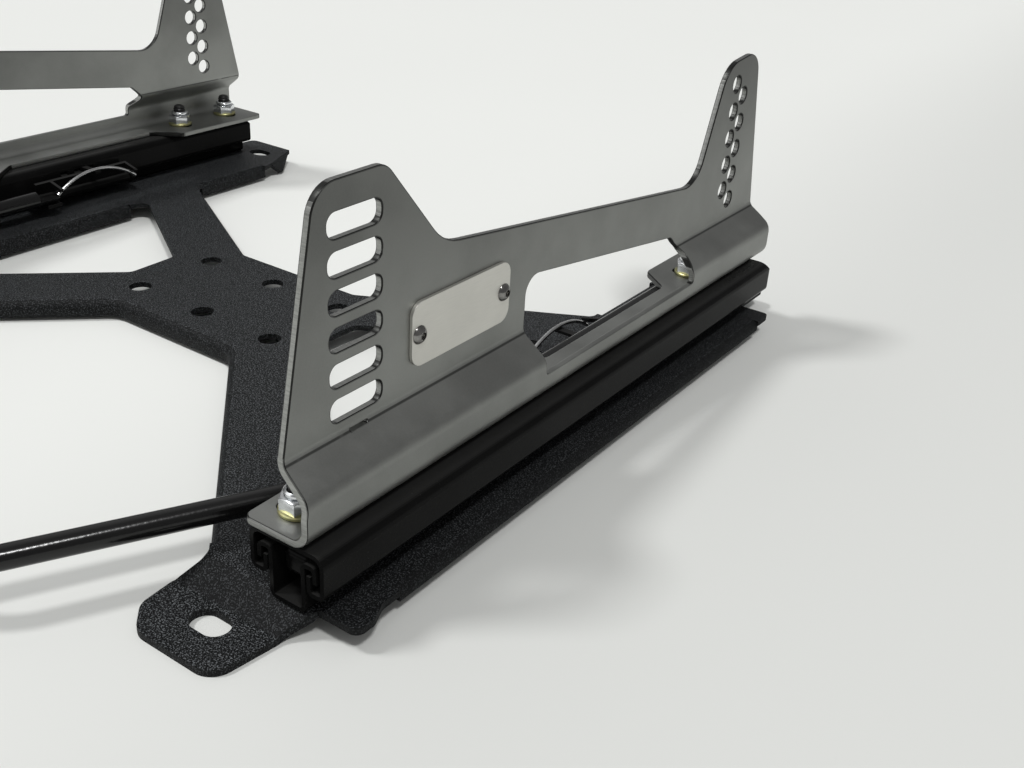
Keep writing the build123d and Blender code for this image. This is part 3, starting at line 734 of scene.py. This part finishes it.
def trim_mount(shape):
    """Widens an upright's inner corners, narrows its flange's neck and rounds the flange's ends."""
    for corner in INNER_CORNERS:
        round_corner(shape, *corner)
    for vertex in shape.verts:
        spot = vertex.co / MM
        if on_flange(spot):
            share = smooth_step(spot.y, *NECK_START) * (1 - smooth_step(spot.y, *NECK_END))
            vertex.co.x += math.copysign(NECK_TRIM * share * MM, spot.x)
    ends = [edge for edge in shape.edges if is_end_corner(*(v.co / MM for v in edge.verts))]
    bmesh.ops.bevel(
        shape, geom=ends, offset=FLANGE_CORNER * MM, segments=6, profile=0.5, affect="EDGES",
        clamp_overlap=True,
    )


print("outline helpers ready")

# %% [markdown]
# ## Soft edges on sheet metal
#
# A Bevel modifier rounds only edges sharper than its angle. The sheet's folds are many small
# steps below that angle, so they stay smooth. The Bevel shader node could fake a round edge, but the
# exported mesh would still be sharp. Where a copy's corners were widened, clamping is off: one
# narrow face there would hold back the rounding of the whole piece. Weighted normals then keep the
# large faces flat beside their rounded edges.

# %% Round the edges of the copies
EDGE_RADII = {
    "side_mount_right": 0.5, "side_mount_left": 0.5, "base_plate": 0.45, "badge_plate": 0.2,
    "upper_rail_right": 0.2, "upper_rail_left": 0.2, "lower_rail_right": 0.2, "lower_rail_left": 0.2,
    "lock_plate_right": 0.15, "lock_plate_left": 0.15, "base_nuts_right": 0.2, "base_nuts_left": 0.2,
}
TRIMS = {"side_mount_right": trim_mount, "side_mount_left": trim_mount, "badge_plate": trim_badge}


def round_edges(piece, radius):
    """Adds the modifier that rounds a piece's sharp edges."""
    bevel = piece.modifiers.new("rounded edges", "BEVEL")
    bevel.width = radius * MM
    bevel.segments = 2
    bevel.limit_method = "ANGLE"
    bevel.angle_limit = EDGE_ANGLE
    return bevel


def soften(node, radius, trim):
    """Makes a copy of a CAD node with rounded edges, which stands for it."""
    piece = merged_copy(f"{node}_soft", node)
    if trim:
        rework(piece, trim)
    bevel = round_edges(piece, radius)
    bevel.use_clamp_overlap = not trim
    bevel.miter_outer = "MITER_ARC"
    bake(piece)
    shade(piece)
    weight = piece.modifiers.new("flat faces lead", "WEIGHTED_NORMAL")
    weight.keep_sharp = True
    weight.weight = 100
    bake(piece)
    dress(piece, node)
    print(node, len(piece.data.polygons), "faces")


for node, radius in EDGE_RADII.items():
    soften(node, radius, TRIMS.get(node))

# %% [markdown]
# ## Geometry Nodes for what repeats
#
# Eight nuts, eight washers, eight studs, four bolts and two badge screws repeat, and a bar and two
# wires follow a path. Each kind is one tree, which takes a source mesh of points or of a route, a
# finish and named sizes. Every tree ends in the same two nodes: Realize Instances turns copies into
# mesh, and Set Material gives it the finish.

# %% The frame of every tree
def geometry_tree(name, source, sizes, build):
    """A tree whose inputs are a source, a finish and named sizes, around what build makes of them."""
    group = bpy.data.node_groups.new(name, "GeometryNodeTree")
    kinds = {source: "Geometry", "Finish": "Material"} | dict.fromkeys(sizes, "Float")
    for label, kind in kinds.items():
        socket = group.interface.new_socket(label, in_out="INPUT", socket_type=f"NodeSocket{kind}")
        if label in sizes:
            socket.default_value = sizes[label] * MM
    group.interface.new_socket("Geometry", in_out="OUTPUT", socket_type="NodeSocketGeometry")
    tree = Tree(group)
    entry = group.nodes.new("NodeGroupInput")
    wires = {socket.name: Wire(tree, socket) for socket in entry.outputs if socket.name}
    mesh = tree.make("GeometryNodeRealizeInstances", inputs={"Geometry": build(tree, wires)})
    inputs = {"Geometry": mesh, "Material": wires["Finish"]}
    painted = tree.make("GeometryNodeSetMaterial", inputs=inputs)
    exit_node = group.nodes.new("NodeGroupOutput")
    group.links.new(painted.socket, exit_node.inputs["Geometry"])
    return group


def hardware_tree(name, sizes, build):
    """A tree that puts one shape on each of its points."""
    def copies(tree, size):
        inputs = {"Points": size["Points"], "Instance": build(tree, size)}
        return tree.make("GeometryNodeInstanceOnPoints", inputs=inputs)
    return geometry_tree(name, "Points", sizes, copies)


print("tree frames ready")

# %% [markdown]
# ## From a tree to a piece
#
# A tree runs as a modifier on an object whose mesh is only its points or its route. The finish goes
# in by the socket's identifier, which is how a modifier keeps its inputs. The result is then baked
# to plain mesh, one for each body, because the export reads meshes and would drop the copies.

# %% Run a tree
def source_mesh(name, places, route=False):
    """A mesh of points, joined in a row where it is a route."""
    mesh = bpy.data.meshes.new(name)
    edges = [(i, i + 1) for i in range(len(places) - 1)] if route else []
    mesh.from_pydata(places, edges, [])
    return mesh


def run_tree(node, group, source, rounding=0.0):
    """Runs a tree on its source and dresses the plain mesh that comes out as the node."""
    piece = bpy.data.objects.new(f"{node}_detail", source)
    bpy.context.scene.collection.objects.link(piece)
    modifier = piece.modifiers.new("tree", "NODES")
    modifier.node_group = group
    for item in group.interface.items_tree:
        if item.name == "Finish":
            modifier[item.identifier] = materials[slot_of[node]]
    bake(piece)
    if rounding:
        round_edges(piece, rounding)
        bake(piece)
    shade(piece)
    dress(piece, node)
    print(node, len(piece.data.polygons), "faces")


print("ready to run trees")

# %% [markdown]
# ## Shapes for the trees
#
# Turned and drilled hardware comes down to a few shapes: a prism or cylinder, a ring as from a
# lathe, and booleans of them. Each is a function that adds its nodes to a tree, and its sizes may
# be numbers or wires.

# %% Prisms, rings and booleans
ROUND_SIDES = 48


def moved(tree, shape, x=0.0, y=0.0, z=0.0, turn=(0.0, 0.0, 0.0), size=(1.0, 1.0, 1.0)):
    """A shape moved by wires or numbers."""
    shift = tree.make("ShaderNodeCombineXYZ", inputs={"X": x, "Y": y, "Z": z})
    inputs = {"Geometry": shape, "Translation": shift, "Rotation": turn, "Scale": size}
    return tree.make("GeometryNodeTransform", inputs=inputs)


def prism(tree, sides, radius, height):
    """An upright prism or cylinder that stands at height 0."""
    inputs = {"Vertices": sides, "Radius": radius, "Depth": height}
    body = tree.make("GeometryNodeMeshCylinder", inputs=inputs, output="Mesh")
    return moved(tree, body, z=height * 0.5)


def sphere(tree, segments, rings, radius):
    """A ball around the origin."""
    inputs = {"Segments": segments, "Rings": rings, "Radius": radius}
    return tree.make("GeometryNodeMeshUVSphere", inputs=inputs)


def turned_ring(tree, radius, width, height, rounding, bottom=0.0):
    """A ring with a rounded rectangular section, as if turned on a lathe."""
    inputs = {"Resolution": ROUND_SIDES, "Radius": radius}
    path = tree.make("GeometryNodeCurvePrimitiveCircle", inputs=inputs)
    inputs = {"Width": width, "Height": height}
    section = tree.make("GeometryNodeCurvePrimitiveQuadrilateral", inputs=inputs)
    inputs = {"Curve": section, "Radius": rounding, "Limit Radius": True}
    soft = tree.make("GeometryNodeFilletCurve", inputs=inputs)
    inputs = {"Curve": path, "Profile Curve": soft}
    ring = tree.make("GeometryNodeCurveToMesh", inputs=inputs)
    return moved(tree, ring, z=bottom + height * 0.5)


def combined(tree, operation, first, second):
    """A boolean of two closed shapes."""
    inputs = {"Mesh": [first, second]}
    if operation == "DIFFERENCE":
        inputs = {"Mesh 1": first, "Mesh 2": second}
    settings = {"operation": operation, "solver": "EXACT"}
    return tree.make("GeometryNodeMeshBoolean", settings, inputs)


def joined(tree, *shapes):
    """Several shapes as one."""
    return tree.make("GeometryNodeJoinGeometry", inputs={"Geometry": list(shapes)})


print("shape helpers ready")

# %% [markdown]
# ## Where the hardware sits
#
# Each nut, washer or screw of a kind is a separate solid of one CAD node. Points that are joined by
# edges belong to one solid, so walking the mesh from point to point finds them, and the middle of
# each solid's underside is the seat of one copy. No place has to be written down twice.

# %% Seats from the CAD solids
SIDES = ("right", "left")


def solid_boxes(node):
    """The lowest and highest corner of each separate solid of a CAD node, lowest in Y first."""
    shape = bmesh.new()
    shape.from_mesh(frame["nodes"][node].data)
    bmesh.ops.remove_doubles(shape, verts=shape.verts, dist=WELD_DISTANCE)
    unseen = set(shape.verts)
    boxes = []
    while unseen:
        island = set()
        front = {unseen.pop()}
        while front:
            island |= front
            front = {edge.other_vert(v) for v in front for edge in v.link_edges} - island
        unseen -= island
        low = Vector([min(v.co[axis] for v in island) for axis in range(3)])
        high = Vector([max(v.co[axis] for v in island) for axis in range(3)])
        boxes.append((low, high))
    shape.free()
    return sorted(boxes, key=lambda box: tuple(box[0].yxz))


def seats(node):
    """The middle of the underside of each solid of a CAD node."""
    return [((low.x + high.x) / 2, (low.y + high.y) / 2, low.z) for low, high in solid_boxes(node)]


def fit_both_sides(kind, group, rounding=0.0):
    """Fits one kind of hardware on its seats on the right and the left side."""
    for side in SIDES:
        node = f"{kind}_{side}"
        run_tree(node, group, source_mesh(node, seats(node)), rounding)


print("seat helpers ready")

# %% [markdown]
# ## Lock nuts
#
# Each nut is a hexagon with its top corners cut back at thirty degrees, and a round collar above
# it that grips the stud's thread. The chamfer is what a real nut shows as three bright curves on
# each face: a cone laid over the hexagon gives exactly those curves.

# %% The nut tree
NUT_SIZES = {
    "Across flats": 13.0, "Height": 5.6, "Collar radius": 5.6, "Collar height": 2.4,
    "Collar sink": 0.05, "Bore": 4.0, "Chamfer top": 6.1,
}
NUT_ROUNDING = 0.12
HEX_CORNER = 1.0 / math.sqrt(3.0)
CHAMFER_SLOPE = 1.73


def lock_nut(tree, size):
    height = size["Height"]
    hexagon = prism(tree, 6, size["Across flats"] * HEX_CORNER, height)
    skirt = height * CHAMFER_SLOPE + size["Chamfer top"]
    inputs = {
        "Vertices": ROUND_SIDES, "Radius Top": size["Chamfer top"], "Radius Bottom": skirt,
        "Depth": height,
    }
    cone = tree.make("GeometryNodeMeshCone", inputs=inputs, output="Mesh")
    body = combined(tree, "INTERSECT", hexagon, cone)
    bore = moved(tree, prism(tree, ROUND_SIDES, size["Bore"], height * 3.0), z=height * -1.0)
    ring = size["Collar radius"] - size["Bore"]
    middle = size["Bore"] + ring * 0.5
    bottom = height - size["Collar sink"]
    collar = turned_ring(tree, middle, ring, size["Collar height"], ring * 0.45, bottom)
    return joined(tree, combined(tree, "DIFFERENCE", body, bore), collar)


fit_both_sides("rail_nuts", hardware_tree("lock nut", NUT_SIZES, lock_nut), NUT_ROUNDING)

# %% [markdown]
# ## Washers
#
# A washer is a stamped ring, so its edges are rounded a little. A round path with a rounded
# rectangle swept along it is the same thing as turning it on a lathe.

# %% The washer tree
WASHER_SIZES = {"Outer radius": 7.8, "Inner radius": 4.4, "Thickness": 1.6, "Edge": 0.35}


def washer(tree, size):
    width = size["Outer radius"] - size["Inner radius"]
    middle = size["Inner radius"] + width * 0.5
    return turned_ring(tree, middle, width, size["Thickness"], size["Edge"])


fit_both_sides("rail_washers", hardware_tree("washer", WASHER_SIZES, washer))

# %% [markdown]
# ## Threaded studs
#
# The studs come up through the rail, and their round black tips show above the nuts. The thread is
# a spiral with a small diamond swept along it, wound on a plain core, which is how a thread looks
# from outside and costs far fewer faces than cutting the groove.

# %% The stud tree
STUD_SIZES = {"Radius": 4.0, "Length": 18.8, "Thread depth": 0.55, "Thread inset": 0.3, "Tip": 1.6}
STUD_SIDES = 32
THREAD_PITCH = 1.25
THREAD_STEPS = 20


def threaded_stud(tree, size):
    core = size["Radius"] - size["Thread depth"]
    threaded = size["Length"] - size["Tip"]
    turns = STUD_SIZES["Length"] / THREAD_PITCH - 2.0
    inputs = {
        "Resolution": THREAD_STEPS, "Rotations": turns, "Start Radius": core, "End Radius": core,
        "Height": threaded - size["Thread inset"] * 2.0,
    }
    spiral = tree.make("GeometryNodeCurveSpiral", inputs=inputs)
    inputs = {"Resolution": 4, "Radius": size["Thread depth"]}
    section = tree.make("GeometryNodeCurvePrimitiveCircle", inputs=inputs)
    inputs = {"Curve": spiral, "Profile Curve": section, "Fill Caps": True}
    thread = tree.make("GeometryNodeCurveToMesh", inputs=inputs)
    thread = moved(tree, thread, z=size["Thread inset"])
    tip_size = tree.make("ShaderNodeCombineXYZ", inputs={"X": core, "Y": core, "Z": size["Tip"]})
    tip = moved(tree, sphere(tree, STUD_SIDES, 24, 1.0), z=threaded, size=tip_size)
    return joined(tree, prism(tree, STUD_SIDES, core, threaded), thread, tip)


fit_both_sides("rail_studs", hardware_tree("threaded stud", STUD_SIZES, threaded_stud))

# %% [markdown]
# ## Socket screws
#
# The badge is held by two button-head screws, and the rails are bolted to the base with larger
# ones. A button head is a slice of a ball with a flat top, and a hexagonal hole for the key. One
# function makes both sizes. The badge's screws point along X, so their tree turns the shape.

# %% The screw trees
BADGE_SCREW = {
    "Head radius": 3.7, "Head height": 2.1, "Ball radius": 4.3, "Socket": 2.8, "Socket depth": 1.3,
    "Shank radius": 2.0, "Shank length": 4.5,
}
BASE_BOLT = {
    "Head radius": 5.2, "Head height": 3.2, "Ball radius": 5.75, "Socket": 4.0, "Socket depth": 1.8,
    "Shank radius": 3.0, "Shank length": 9.8,
}
BALL_RISE = 1.06
SCREW_ROUNDING = 0.1
BOLT_ROUNDING = 0.12
SHANK_SIDES = 32


def button_screw(tree, size):
    """A screw whose seat is at height 0: the head above it, the shank below."""
    drum = prism(tree, ROUND_SIDES, size["Head radius"], size["Head height"])
    ball = sphere(tree, ROUND_SIDES, 32, size["Ball radius"])
    ball = moved(tree, ball, z=size["Head height"] * BALL_RISE - size["Ball radius"])
    head = combined(tree, "INTERSECT", drum, ball)
    key = prism(tree, 6, size["Socket"] * HEX_CORNER, size["Socket depth"] * 2.0)
    key = moved(tree, key, z=size["Head height"] - size["Socket depth"])
    shank = prism(tree, SHANK_SIDES, size["Shank radius"], size["Shank length"])
    shank = moved(tree, shank, z=size["Shank length"] * -1.0)
    return joined(tree, combined(tree, "DIFFERENCE", head, key), shank)


def sideways_screw(tree, size):
    return moved(tree, button_screw(tree, size), turn=(0.0, math.pi / 2, 0.0))


def bolt_seats(node):
    """The middle of each bolt, at the height where its head sits."""
    drop = BASE_BOLT["Head height"] * MM
    boxes = solid_boxes(node)
    return [((low.x + high.x) / 2, (low.y + high.y) / 2, high.z - drop) for low, high in boxes]


badge_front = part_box("badge_plate")[1].x
screws = solid_boxes("badge_screws")
places = [(badge_front, (low.y + high.y) / 2, (low.z + high.z) / 2) for low, high in screws]
screw_tree = hardware_tree("badge screw", BADGE_SCREW, sideways_screw)
run_tree("badge_screws", screw_tree, source_mesh("badge_screws", places), SCREW_ROUNDING)

bolt_tree = hardware_tree("base bolt", BASE_BOLT, button_screw)
for side in SIDES:
    node = f"base_bolts_{side}"
    run_tree(node, bolt_tree, source_mesh(node, bolt_seats(node)), BOLT_ROUNDING)

# %% [markdown]
# ## Pieces that follow a path
#
# The release bar is one round rod bent through six corners, and each lock spring is a bowed wire.
# Both are a section swept along a line, which is a rule that Geometry Nodes can state: a line
# through the corners, its corners filleted, and a circle swept along it. What is worked into the
# ends comes after the sweep.

# %% A tree for bent rods
BEND_STEPS = 20


def rod_tree(name, sizes, work_ends=None):
    """A tree that sweeps a round rod along a route, bends its corners and works its ends."""
    def rod(tree, size):
        line = tree.make("GeometryNodeMeshToCurve", inputs={"Mesh": size["Route"]})
        inputs = {"Curve": line, "Count": BEND_STEPS, "Radius": size["Bend"], "Limit Radius": True}
        path = tree.make("GeometryNodeFilletCurve", {"mode": "POLY"}, inputs)
        inputs = {"Resolution": ROUND_SIDES, "Radius": size["Radius"]}
        ring = tree.make("GeometryNodeCurvePrimitiveCircle", inputs=inputs)
        inputs = {"Curve": path, "Profile Curve": ring, "Fill Caps": True}
        swept = tree.make("GeometryNodeCurveToMesh", inputs=inputs)
        return work_ends(tree, swept) if work_ends else swept
    return geometry_tree(name, "Route", sizes, rod)


print("rod tree ready")

# %% [markdown]
# ## The release bar
#
# The bar runs from one slide forward, across the front and back to the other, in one level plane.
# Its ends are flattened on top where they push on the lock, and each leg is drilled for its pivot
# pin. Both are cut out of the swept rod with booleans, as a file and a drill would.

# %% Bend, flatten and drill the bar
BAR_SIZES = {"Radius": 4.74, "Bend": 34.0}
BAR_HEIGHT = 24.0
BAR_CORNERS = [(178.4, 202.0), (178.4, 62.0), (120.0, -50.0), (78.0, -72.0)]
BAR_TIP_LENGTH = 14.0
BAR_TIP_DROP = 1.0
OVERRUN = 1.0
FLAT_CUTTER = Vector((12.0, BAR_TIP_LENGTH + OVERRUN, 8.0))
PIVOT_Y = 140.0
PIVOT_BORE = 2.55
DRILL_LENGTH = 14.0


def bar_places():
    """The bar's corners from its right end to its left end."""
    corners = BAR_CORNERS + [(-x, y) for x, y in reversed(BAR_CORNERS)]
    return [Vector((x, y, BAR_HEIGHT)) * MM for x, y in corners]


def flatten_and_drill(tree, rod):
    """Cuts the flats and the pivot bores at both ends of the bar."""
    leg_x, rear_y = BAR_CORNERS[0]
    flat_y = (rear_y + OVERRUN - FLAT_CUTTER.y / 2) * MM
    flat_z = (BAR_HEIGHT - BAR_TIP_DROP + FLAT_CUTTER.z / 2) * MM
    for x in (leg_x * MM, -leg_x * MM):
        flat = tree.make("GeometryNodeMeshCube", inputs={"Size": FLAT_CUTTER * MM}, output="Mesh")
        rod = combined(tree, "DIFFERENCE", rod, moved(tree, flat, x=x, y=flat_y, z=flat_z))
        inputs = {"Radius": PIVOT_BORE * MM, "Depth": DRILL_LENGTH * MM}
        drill = tree.make("GeometryNodeMeshCylinder", inputs=inputs, output="Mesh")
        turn = (0.0, math.pi / 2, 0.0)
        drill = moved(tree, drill, x=x, y=PIVOT_Y * MM, z=BAR_HEIGHT * MM, turn=turn)
        rod = combined(tree, "DIFFERENCE", rod, drill)
    return rod


bar_tree = rod_tree("release bar", BAR_SIZES, flatten_and_drill)
run_tree("release_bar", bar_tree, source_mesh("bar route", bar_places(), route=True))

# %% [markdown]
# ## The lock springs
#
# Each lock is pressed shut by a wire bowed over a small tab on the rail, with its ends under the
# lock's two arms. Its line is an arc through three points, which the CAD node's own box gives.

# %% Bowed wires
WIRE_SIZES = {"Radius": 1.0, "Bend": 0.0}
WIRE_STEPS = 40
END_OVERHANG = 0.63
END_LIFT = 0.78


def bow_places(node):
    """Points along the arc through the wire's two ends and its crown."""
    low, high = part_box(node)
    wire = WIRE_SIZES["Radius"]
    x = (low.x + high.x) / 2
    middle_y = (low.y + high.y) / 2
    crown = high.z - wire * MM
    half = (high.y - low.y) / 2 - END_OVERHANG * MM
    rise = crown - (low.z + END_LIFT * wire * MM)
    radius = (half * half + rise * rise) / (2 * rise)
    sweep = math.asin(half / radius)
    places = []
    for step in range(WIRE_STEPS + 1):
        angle = sweep * (2 * step / WIRE_STEPS - 1)
        y = middle_y + radius * math.sin(angle)
        places.append((x, y, crown - radius * (1 - math.cos(angle))))
    return places


wire_tree = rod_tree("bowed wire", WIRE_SIZES)
for side in SIDES:
    node = f"lock_spring_{side}"
    run_tree(node, wire_tree, source_mesh("bow route", bow_places(node), route=True))

# %% [markdown]
# ## Floor
#
# The photograph was taken on a white sheet, which gets a little darker to the right, where the
# light falls off. Both lamps here light a floor evenly, so the paper's own colour fades instead.
# A very slow noise keeps it from being one flat tone.

# %% Floor
FLOOR_HALF = 4.0
FLOOR_COLOUR = (0.76, 0.77, 0.745)
FLOOR_FADE = (-20.0, 310.0)
PAPER_CLOUD = 600.0


def paper(tree):
    """White paper, a little darker towards the right."""
    across = part_of(tree, place(tree), "X")
    fade = between(tree, across, *(x * MM for x in FLOOR_FADE))
    base = tones(tree, fade, 1.15, 0.95, FLOOR_COLOUR)
    cloud = noise(tree, PAPER_CLOUD) * 0.06
    return {"Base Color": mixed(tree, cloud, base, grey(0.5, FLOOR_COLOUR))}


floor_mesh = bpy.data.meshes.new("floor")
signs = ((-1, -1), (1, -1), (1, 1), (-1, 1))
corners = [(x * FLOOR_HALF, y * FLOOR_HALF, 0) for x, y in signs]
floor_mesh.from_pydata(corners, [], [(0, 1, 2, 3)])
floor = bpy.data.objects.new("floor", floor_mesh)
bpy.context.scene.collection.objects.link(floor)
floor_mesh.materials.append(finish("floor_paper", paper, Roughness=0.55))
print("floor laid")

# %% [markdown]
# ## Lamps
#
# Two ceiling lights throw two soft shadows of the release bar, one to each side. Two suns of the
# right angular size do the same, and light the whole floor evenly.

# %% Two suns
SUN_ANGLE = math.radians(9.0)
SUN_STRENGTH = 1.25
LAMPS = {"light_right": (0.45, -0.28, 1.0), "light_left": (-0.55, -0.37, 1.0)}

for name, towards in LAMPS.items():
    sun = bpy.data.lights.new(name, "SUN")
    sun.energy = SUN_STRENGTH
    sun.angle = SUN_ANGLE
    lamp = bpy.data.objects.new(name, sun)
    lamp.rotation_mode = "QUATERNION"
    lamp.rotation_quaternion = Vector(towards).to_track_quat("Z", "Y")
    bpy.context.scene.collection.objects.link(lamp)
print(len(LAMPS), "lamps")

# %% [markdown]
# ## The room around it
#
# The world fills in the rest of the light, at a level where the floor renders about as its colour
# is written. The camera sees a pale backdrop instead. Metal and gloss show what they reflect, so
# they see a third thing: a dim ceiling with two soft round lights in it.

# %% World
FILL = 0.36
BACKDROP = 0.85
CEILING_DARK = 0.25
CEILING_BRIGHT = 1.4
# A direction, the cosines at which the glow around it starts and is full, and its share.
CEILING_LIGHTS = (((-0.62, 0.35, 0.70), 0.84, 0.98, 0.22), ((-0.62, -0.60, 0.50), 0.90, 0.97, 1.0))

world = bpy.data.worlds.new("studio")
bpy.context.scene.world = world
world.use_nodes = True
world_tree = Tree(world.node_tree)
direction = world_tree.make("ShaderNodeTexCoord", output="Generated")


def ray_is(kind):
    """1 for rays of this kind and 0 for others."""
    return world_tree.make("ShaderNodeLightPath", output=f"Is {kind} Ray")


def ceiling_light(towards, rim, core, share):
    """A soft round glow in one direction."""
    inputs = {0: direction, 1: towards}
    settings = {"operation": "DOT_PRODUCT"}
    near = world_tree.make("ShaderNodeVectorMath", settings, inputs, output="Value")
    return between(world_tree, near, rim, core) * share


mirrored = ray_is("Glossy") + ray_is("Transmission")
seen = ray_is("Camera") + mirrored
glow = sum(ceiling_light(*light) for light in CEILING_LIGHTS)
ceiling = mixed(world_tree, glow, grey(CEILING_DARK), grey(CEILING_BRIGHT))
backdrop = mixed(world_tree, between(world_tree, mirrored, 0.0, 1.0), grey(BACKDROP), ceiling)
shown = mixed(world_tree, between(world_tree, seen, 0.0, 1.0), grey(FILL), backdrop)
world.node_tree.links.new(shown.socket, world.node_tree.nodes["Background"].inputs["Color"])
bpy.context.scene.view_settings.view_transform = "Standard"
print("world set")
